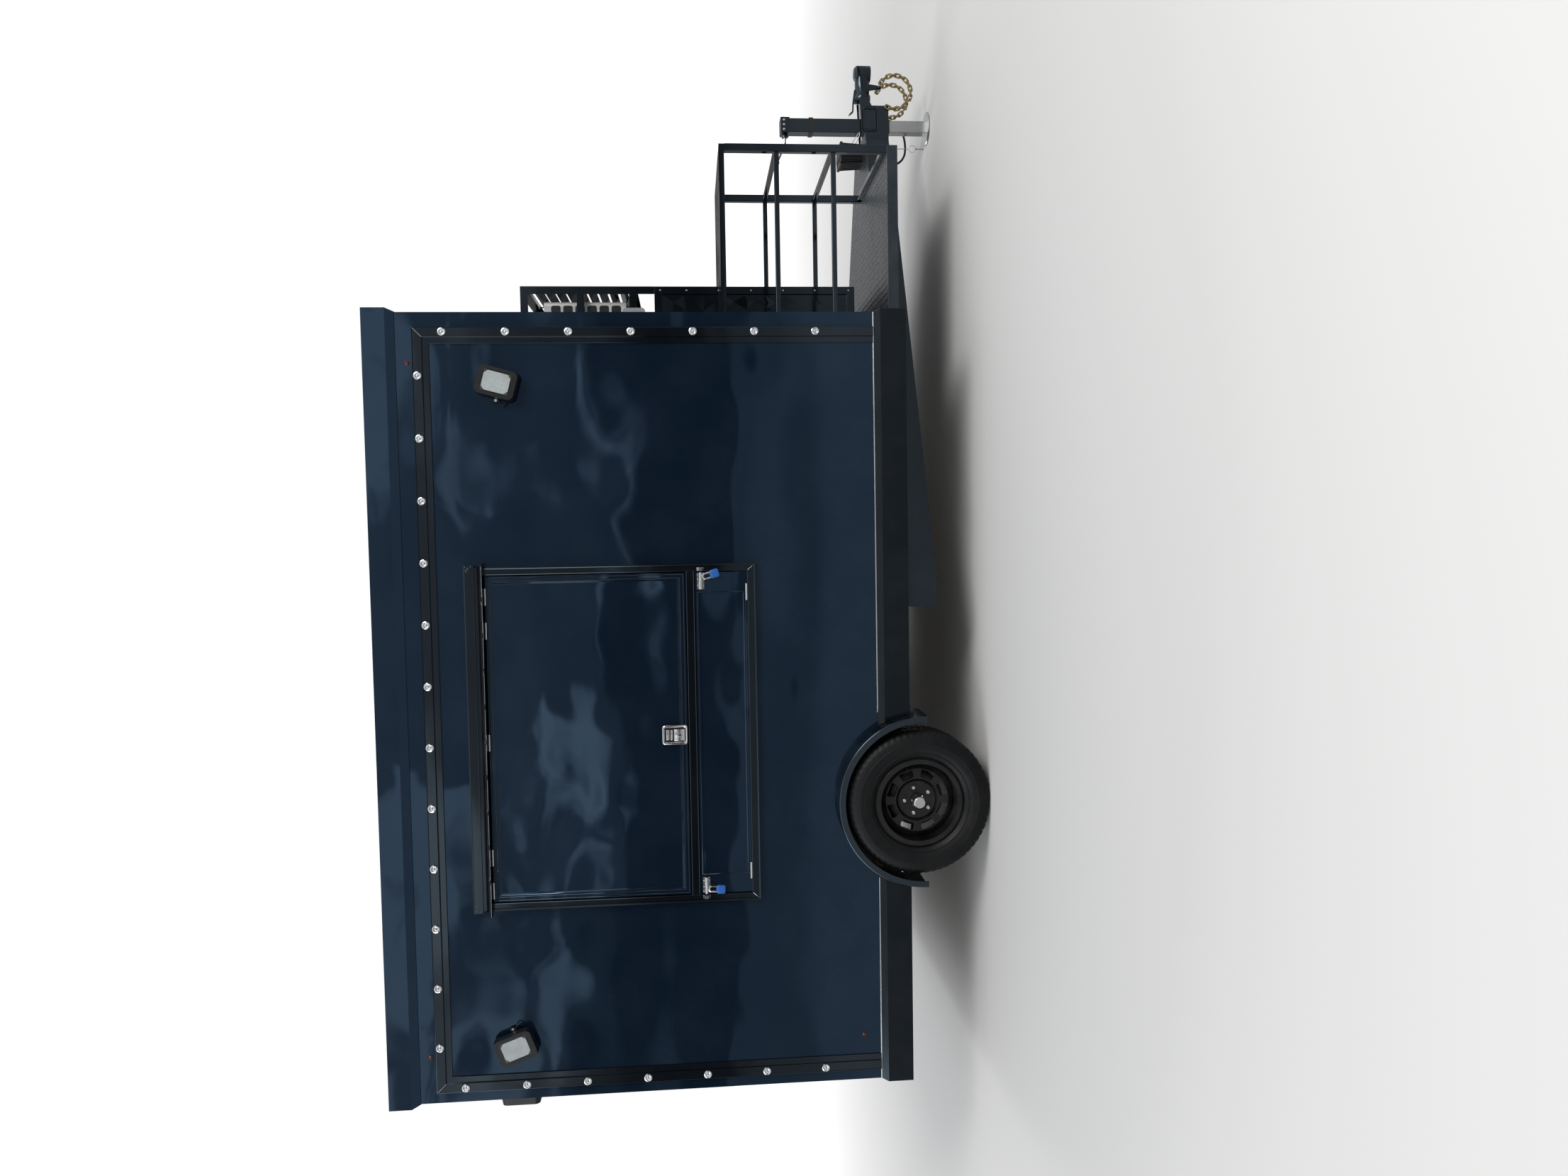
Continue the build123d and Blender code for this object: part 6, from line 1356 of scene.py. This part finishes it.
def coil_opening_shade():
    """Dark rounded plates down the air conditioner's two ends: painted shade of the openings over the coil.
    """
    low, high = span["ac_unit"]
    wide, tall = COIL_OPENING

    def draw(bm, side):
        y = low.y if side < 0 else high.y
        for column in range(COIL_COLUMNS):
            for row in range(COIL_ROWS):
                x, z = low.x + 0.045 + column * COIL_STEP[0], COIL_FOOT + tall / 2 + row * COIL_STEP[1]
                levels = [(wide, tall, 0.012, out) for out in (-0.0005, 0.0008)]
                stepped_plate(bm, upright((x, y, z), (0, side, 0)), levels)
    piece("coil_opening_shade", "trailer", black_mould, both_sides(draw))


def cabinet_handles():
    """Pull handles and hinge barrels on the cabinet's doors."""
    low, high = span["utility_cabinet"]
    middle = halfway(low.y, high.y)
    middle_z = halfway(low.z, high.z)

    def draw(bm, side):
        y = middle + side * 0.005
        bent_rod(bm, [(high.x + out, y, middle_z + up) for out, up in PULL_LINE], 0.0036, 10)
        edge = low.y + 0.043 if side < 0 else high.y - 0.043
        for share in HINGE_SHARES:
            z = low.z + share * (high.z - low.z)
            standing_rod(bm, high.x + HAIR, edge, z - 0.035, z + 0.035, 0.0045, 10)
    piece("cabinet_handles_and_hinges", "trailer", bright_chrome, both_sides(draw))


def rear_fittings():
    """The door's gasket and hinge screws, the lamps' rims and ribs, and the plate's screws."""
    door_low, door_high = span["entry_door"]
    lamp_low, lamp_high = span["tail_lights"]
    plate_low, plate_high = span["plate_bracket"]
    frame_x = span["door_frame"][LOW].x

    def draw_gasket(bm):
        (y0, y1), (z0, z1) = (-GASKET_HALF, GASKET_HALF), GASKET_Z
        corners = [Vector((frame_x, y, z)) for y, z in ((y0, z0), (y1, z0), (y1, z1), (y0, z1))]
        bead_loop(bm, corners, -X_AXIS, 0.0022)
    piece("door_gasket", "trailer", black_mould, draw_gasket)

    def draw_bright(bm):
        for side in SIDES.values():
            middle = (lamp_low.x, side * (lamp_high.y - TAIL_MIDDLE), halfway(lamp_low.z, lamp_high.z))
            levels = less_by(TAIL_WIDE, lamp_high.z - lamp_low.z, TAIL_RIM)
            stepped_plate(bm, upright(middle, (-1, 0, 0)), levels, ring=True)
        inset, rise = PLATE_SCREW
        for y in (plate_low.y + inset, plate_high.y - inset):
            screw(bm, (plate_low.x, y, plate_low.z + rise), (-1, 0, 0), 1.4)
        for share in HINGE_SHARES:
            z = door_low.z + share * (door_high.z - door_low.z)
            for rise in (-0.03, 0.0, 0.03):
                screw(bm, (frame_x, DOOR_HINGE_Y, z + rise), (-1, 0, 0), 1.1)
    piece("rear_rims_and_screws", "trailer", bright_chrome, draw_bright)

    def draw_ribs(bm, side):
        for k in range(-5, 6):
            y = side * (lamp_high.y - TAIL_MIDDLE) + k * 0.0095
            standing_rod(bm, lamp_low.x + 0.0005, y, lamp_low.z + 0.006, lamp_high.z - 0.006, 0.0011, 6)
    piece("tail_lamp_ribs", "trailer", red_cover, both_sides(draw_ribs))


# Inside the cabin
SHEET = 0.0015
HOLE_FRONT_X, HOLE_FOOT_Z, HOLE_TOP_Z = -0.140, 1.421, 2.341       # opening of the serving window
DOOR_EDGE = 0.040                       # width of the door frame


def cabin_lining():
    """Pale sheets on the cabin's walls and ceiling, left open at the window, the door and the wheel wells."""
    inner_y = span["wall_front"][HIGH].y
    x0, x1 = span["wall_rear"][HIGH].x, span["wall_front"][LOW].x
    z0, z1 = span["wall_front"][LOW].z, span["wall_front"][HIGH].z
    well_low, well_high = span["wheel_wells"]
    door_half, door_top = span["door_frame"][HIGH].y - DOOR_EDGE, span["door_frame"][HIGH].z - DOOR_EDGE
    left = [(x0, well_low.x, z0, z1), (well_low.x, well_high.x, well_high.z, z1), (well_high.x, x1, z0, z1)]
    right = [(x0, well_low.x, z0, z1), (well_low.x, well_high.x, well_high.z, HOLE_FOOT_Z),
             (well_high.x, HOLE_FRONT_X, z0, HOLE_FOOT_Z), (well_low.x, HOLE_FRONT_X, HOLE_TOP_Z, z1),
             (HOLE_FRONT_X, x1, z0, z1)]

    def draw(bm):
        sheets = [((a, inner_y - SHEET, low), (b, inner_y, high)) for a, b, low, high in left]
        sheets += [((a, -inner_y, low), (b, SHEET - inner_y, high)) for a, b, low, high in right]
        sheets += [((x1 - SHEET, -inner_y, z0), (x1, inner_y, z1)),
                   ((x0, -inner_y, z0), (x0 + SHEET, -door_half, z1)),
                   ((x0, door_half, z0), (x0 + SHEET, inner_y, z1)),
                   ((x0, -door_half, door_top), (x0 + SHEET, door_half, z1)),
                   ((x0, -inner_y, z1 - SHEET), (x1, inner_y, z1))]
        for near, far in sheets:
            block(bm, near, far, 0.0003)
    piece("cabin_lining_sheets", "trailer", lining_sheet, draw)


# Camera, lights and floor
WHITE = (1.0, 1.0, 1.0, 1.0)
ROOM_LIGHT = 0.55                       # strength of the white room on matt surfaces
MIRROR_LOW = 0.035                      # strength of the room's low band, in gloss
MIRROR_BARE = 0.10                      # what its upper part adds to that
MIRROR_RISE = 0.55                      # how much more there is high up
MIRROR_CLOUDS = 0.95                    # strength of its clouds
CLOUD_EDGE = (0.52, 0.60)
CLOUD_STRETCH = (3.0, 3.0, 6.5)
HORIZON_RAGGED = 0.10
HORIZON_SOFT = 0.02
FLOOR_HALF = 40.0
FLOOR_SEEN = 0.80                       # its colour for the camera
FLOOR_FELT = 0.42                       # its colour for the light that it throws back
FLOOR_FADE = (3.5, 16.0)                # it turns white between these distances
LAMPS = (                               # name, place, aim, size, watts, tint
    ("key", (5.5, -7.5, 7.0), (0.3, 0, 1.2), (5.0, 4.0), 480.0, (1.0, 0.985, 0.96)),
    ("fill", (-7.5, -6.0, 4.5), (0, 0, 1.2), (5.0, 4.0), 190.0, (0.95, 0.98, 1.0)),
    ("back", (-3.0, 8.0, 6.5), (0, 0, 1.4), (6.0, 4.0), 260.0, (1.0, 1.0, 1.0)))


def place_camera():
    """The photograph is stored on its side: the trailer's front is at its top."""
    level_share = cos(CAMERA_PITCH)
    ahead = Vector((sin(CAMERA_YAW) * level_share, cos(CAMERA_YAW) * level_share, sin(CAMERA_PITCH)))
    level = Vector((cos(CAMERA_YAW), -sin(CAMERA_YAW), 0.0))
    above = level.cross(ahead)
    right = cos(CAMERA_ROLL) * level + sin(CAMERA_ROLL) * above
    up = -sin(CAMERA_ROLL) * level + cos(CAMERA_ROLL) * above
    camera = bpy.data.cameras.new("photo camera")
    camera.sensor_width = SENSOR
    camera.sensor_fit = "HORIZONTAL"
    camera.lens = FOCAL_PIXELS / PHOTO_WIDTH * SENSOR
    camera.clip_end = 200.0
    viewer = set_up("photo camera", camera)
    turn = Matrix((-up, right, -ahead)).transposed().to_4x4()
    viewer.matrix_world = Matrix.Translation(CAMERA_PLACE) @ turn
    bpy.context.scene.camera = viewer


def hang_lamps():
    for name, place, aim, size, watts, tint in LAMPS:
        lamp = bpy.data.lights.new(name, "AREA")
        lamp.shape = "RECTANGLE"
        lamp.size, lamp.size_y = size
        lamp.energy = watts
        lamp.color = tint
        set_up(name, lamp).matrix_world = facing(place, Vector(place) - Vector(aim))


def light_the_room():
    """A white room. In gloss it is a low dim band under a ragged horizon, with broad soft clouds above."""
    world = bpy.data.worlds.new("studio")
    bpy.context.scene.world = world
    world.use_nodes = True
    bench = Bench(world.node_tree)
    way = bench.add("ShaderNodeTexCoord").outputs["Generated"]
    height = bench.add("ShaderNodeSeparateXYZ", {0: way}).outputs["Z"]
    ragged = bench.math("MULTIPLY", bench.noise(way, 9.0, 4.0, 0.6), HORIZON_RAGGED)
    above = bench.ramp(bench.math("SUBTRACT", height, ragged), 0.0, HORIZON_SOFT)
    patches = bench.noise(bench.mapped(way, CLOUD_STRETCH), 1.7, 5.0, 0.55)
    clouds = bench.math("MULTIPLY", bench.ramp(patches, *CLOUD_EDGE), MIRROR_CLOUDS)
    rise = bench.math("MULTIPLY", bench.ramp(height, 0.05, 0.6), MIRROR_RISE)
    bright = bench.math("ADD", bench.math("ADD", clouds, rise), MIRROR_BARE)
    mirror = bench.math("ADD", bench.math("MULTIPLY", bright, above), MIRROR_LOW, clamp=True)
    seen = bench.add("ShaderNodeLightPath").outputs
    direct = bench.math("MAXIMUM", seen["Is Camera Ray"], seen["Is Transmission Ray"])
    glossy = bench.math("MULTIPLY", seen["Is Glossy Ray"], bench.math("SUBTRACT", mirror, ROOM_LIGHT))
    whole = bench.math("MULTIPLY", direct, 1.0 - ROOM_LIGHT)
    strength = bench.math("ADD", bench.math("ADD", whole, ROOM_LIGHT), glossy, clamp=True)
    sky = bench.nodes["Background"].inputs
    bench.feed(sky["Color"], WHITE)
    bench.feed(sky["Strength"], strength)


def lay_floor():
    """A pale floor that keeps the shadow and fades to white far away."""
    mesh = bpy.data.meshes.new("studio floor")
    corners = [(u * FLOOR_HALF, v * FLOOR_HALF, 0) for u, v in ((-1, -1), (1, -1), (1, 1), (-1, 1))]
    mesh.from_pydata(corners, [], [(0, 1, 2, 3)])
    material, bench = new_material("studio floor")
    shader = bench.nodes["Principled BSDF"].inputs
    camera_ray = bench.add("ShaderNodeLightPath").outputs["Is Camera Ray"]
    felt, seen = (FLOOR_FELT,) * 3 + (1.0,), (FLOOR_SEEN,) * 3 + (1.0,)
    place = bench.add("ShaderNodeTexCoord").outputs["Object"]
    distance = bench.add("ShaderNodeVectorMath", {0: place}, operation="LENGTH").outputs["Value"]
    fade = bench.ramp(distance, *FLOOR_FADE)
    bench.feed(shader["Base Color"], bench.blend(camera_ray, felt, seen))
    bench.feed(shader["Roughness"], 0.9)
    bench.feed(shader["Specular IOR Level"], 0.1)
    bench.feed(shader["Emission Color"], WHITE)
    bench.feed(shader["Emission Strength"], bench.math("MULTIPLY", fade, camera_ray))
    mesh.materials.append(material)
    ground = set_up("studio_floor", mesh)


place_camera()
trailer_cable()
hang_lamps()
light_the_room()
lay_floor()
finish_solids()
soften_edges()
wall_seams()
foot_strips()
front_edge_trim()
spring_bolts()
bullet_lights()
channel_lips()
tyres()
valve_stems()
tread_lugs()
cabinet_sheets()
cabinet_screws()
flood_fittings()
flood_wires()
raised_beads()
frame_beads()
hinge_sleeves("hatch_hinge_sleeves", "hatch", HATCH_FACE, HATCH_HINGES, HATCH_TOP)
hinge_sleeves("shelf_hinge_sleeves", "shelf", SHELF_FACE, SHELF_HINGES, SHELF_HINGE_Z)
mitre_welds()
ledge_lip()
header_welds()
paddle_lock()
bolt_screws()
hanging_padlocks()
jack_fittings()
nose_outline()
hanging_pins()
battery_fittings()
fan_and_blades()
coil_opening_shade()
cabinet_handles()
rear_fittings()
cabin_lining()
bpy.context.scene.view_settings.view_transform = "Standard"
bpy.context.view_layer.update()
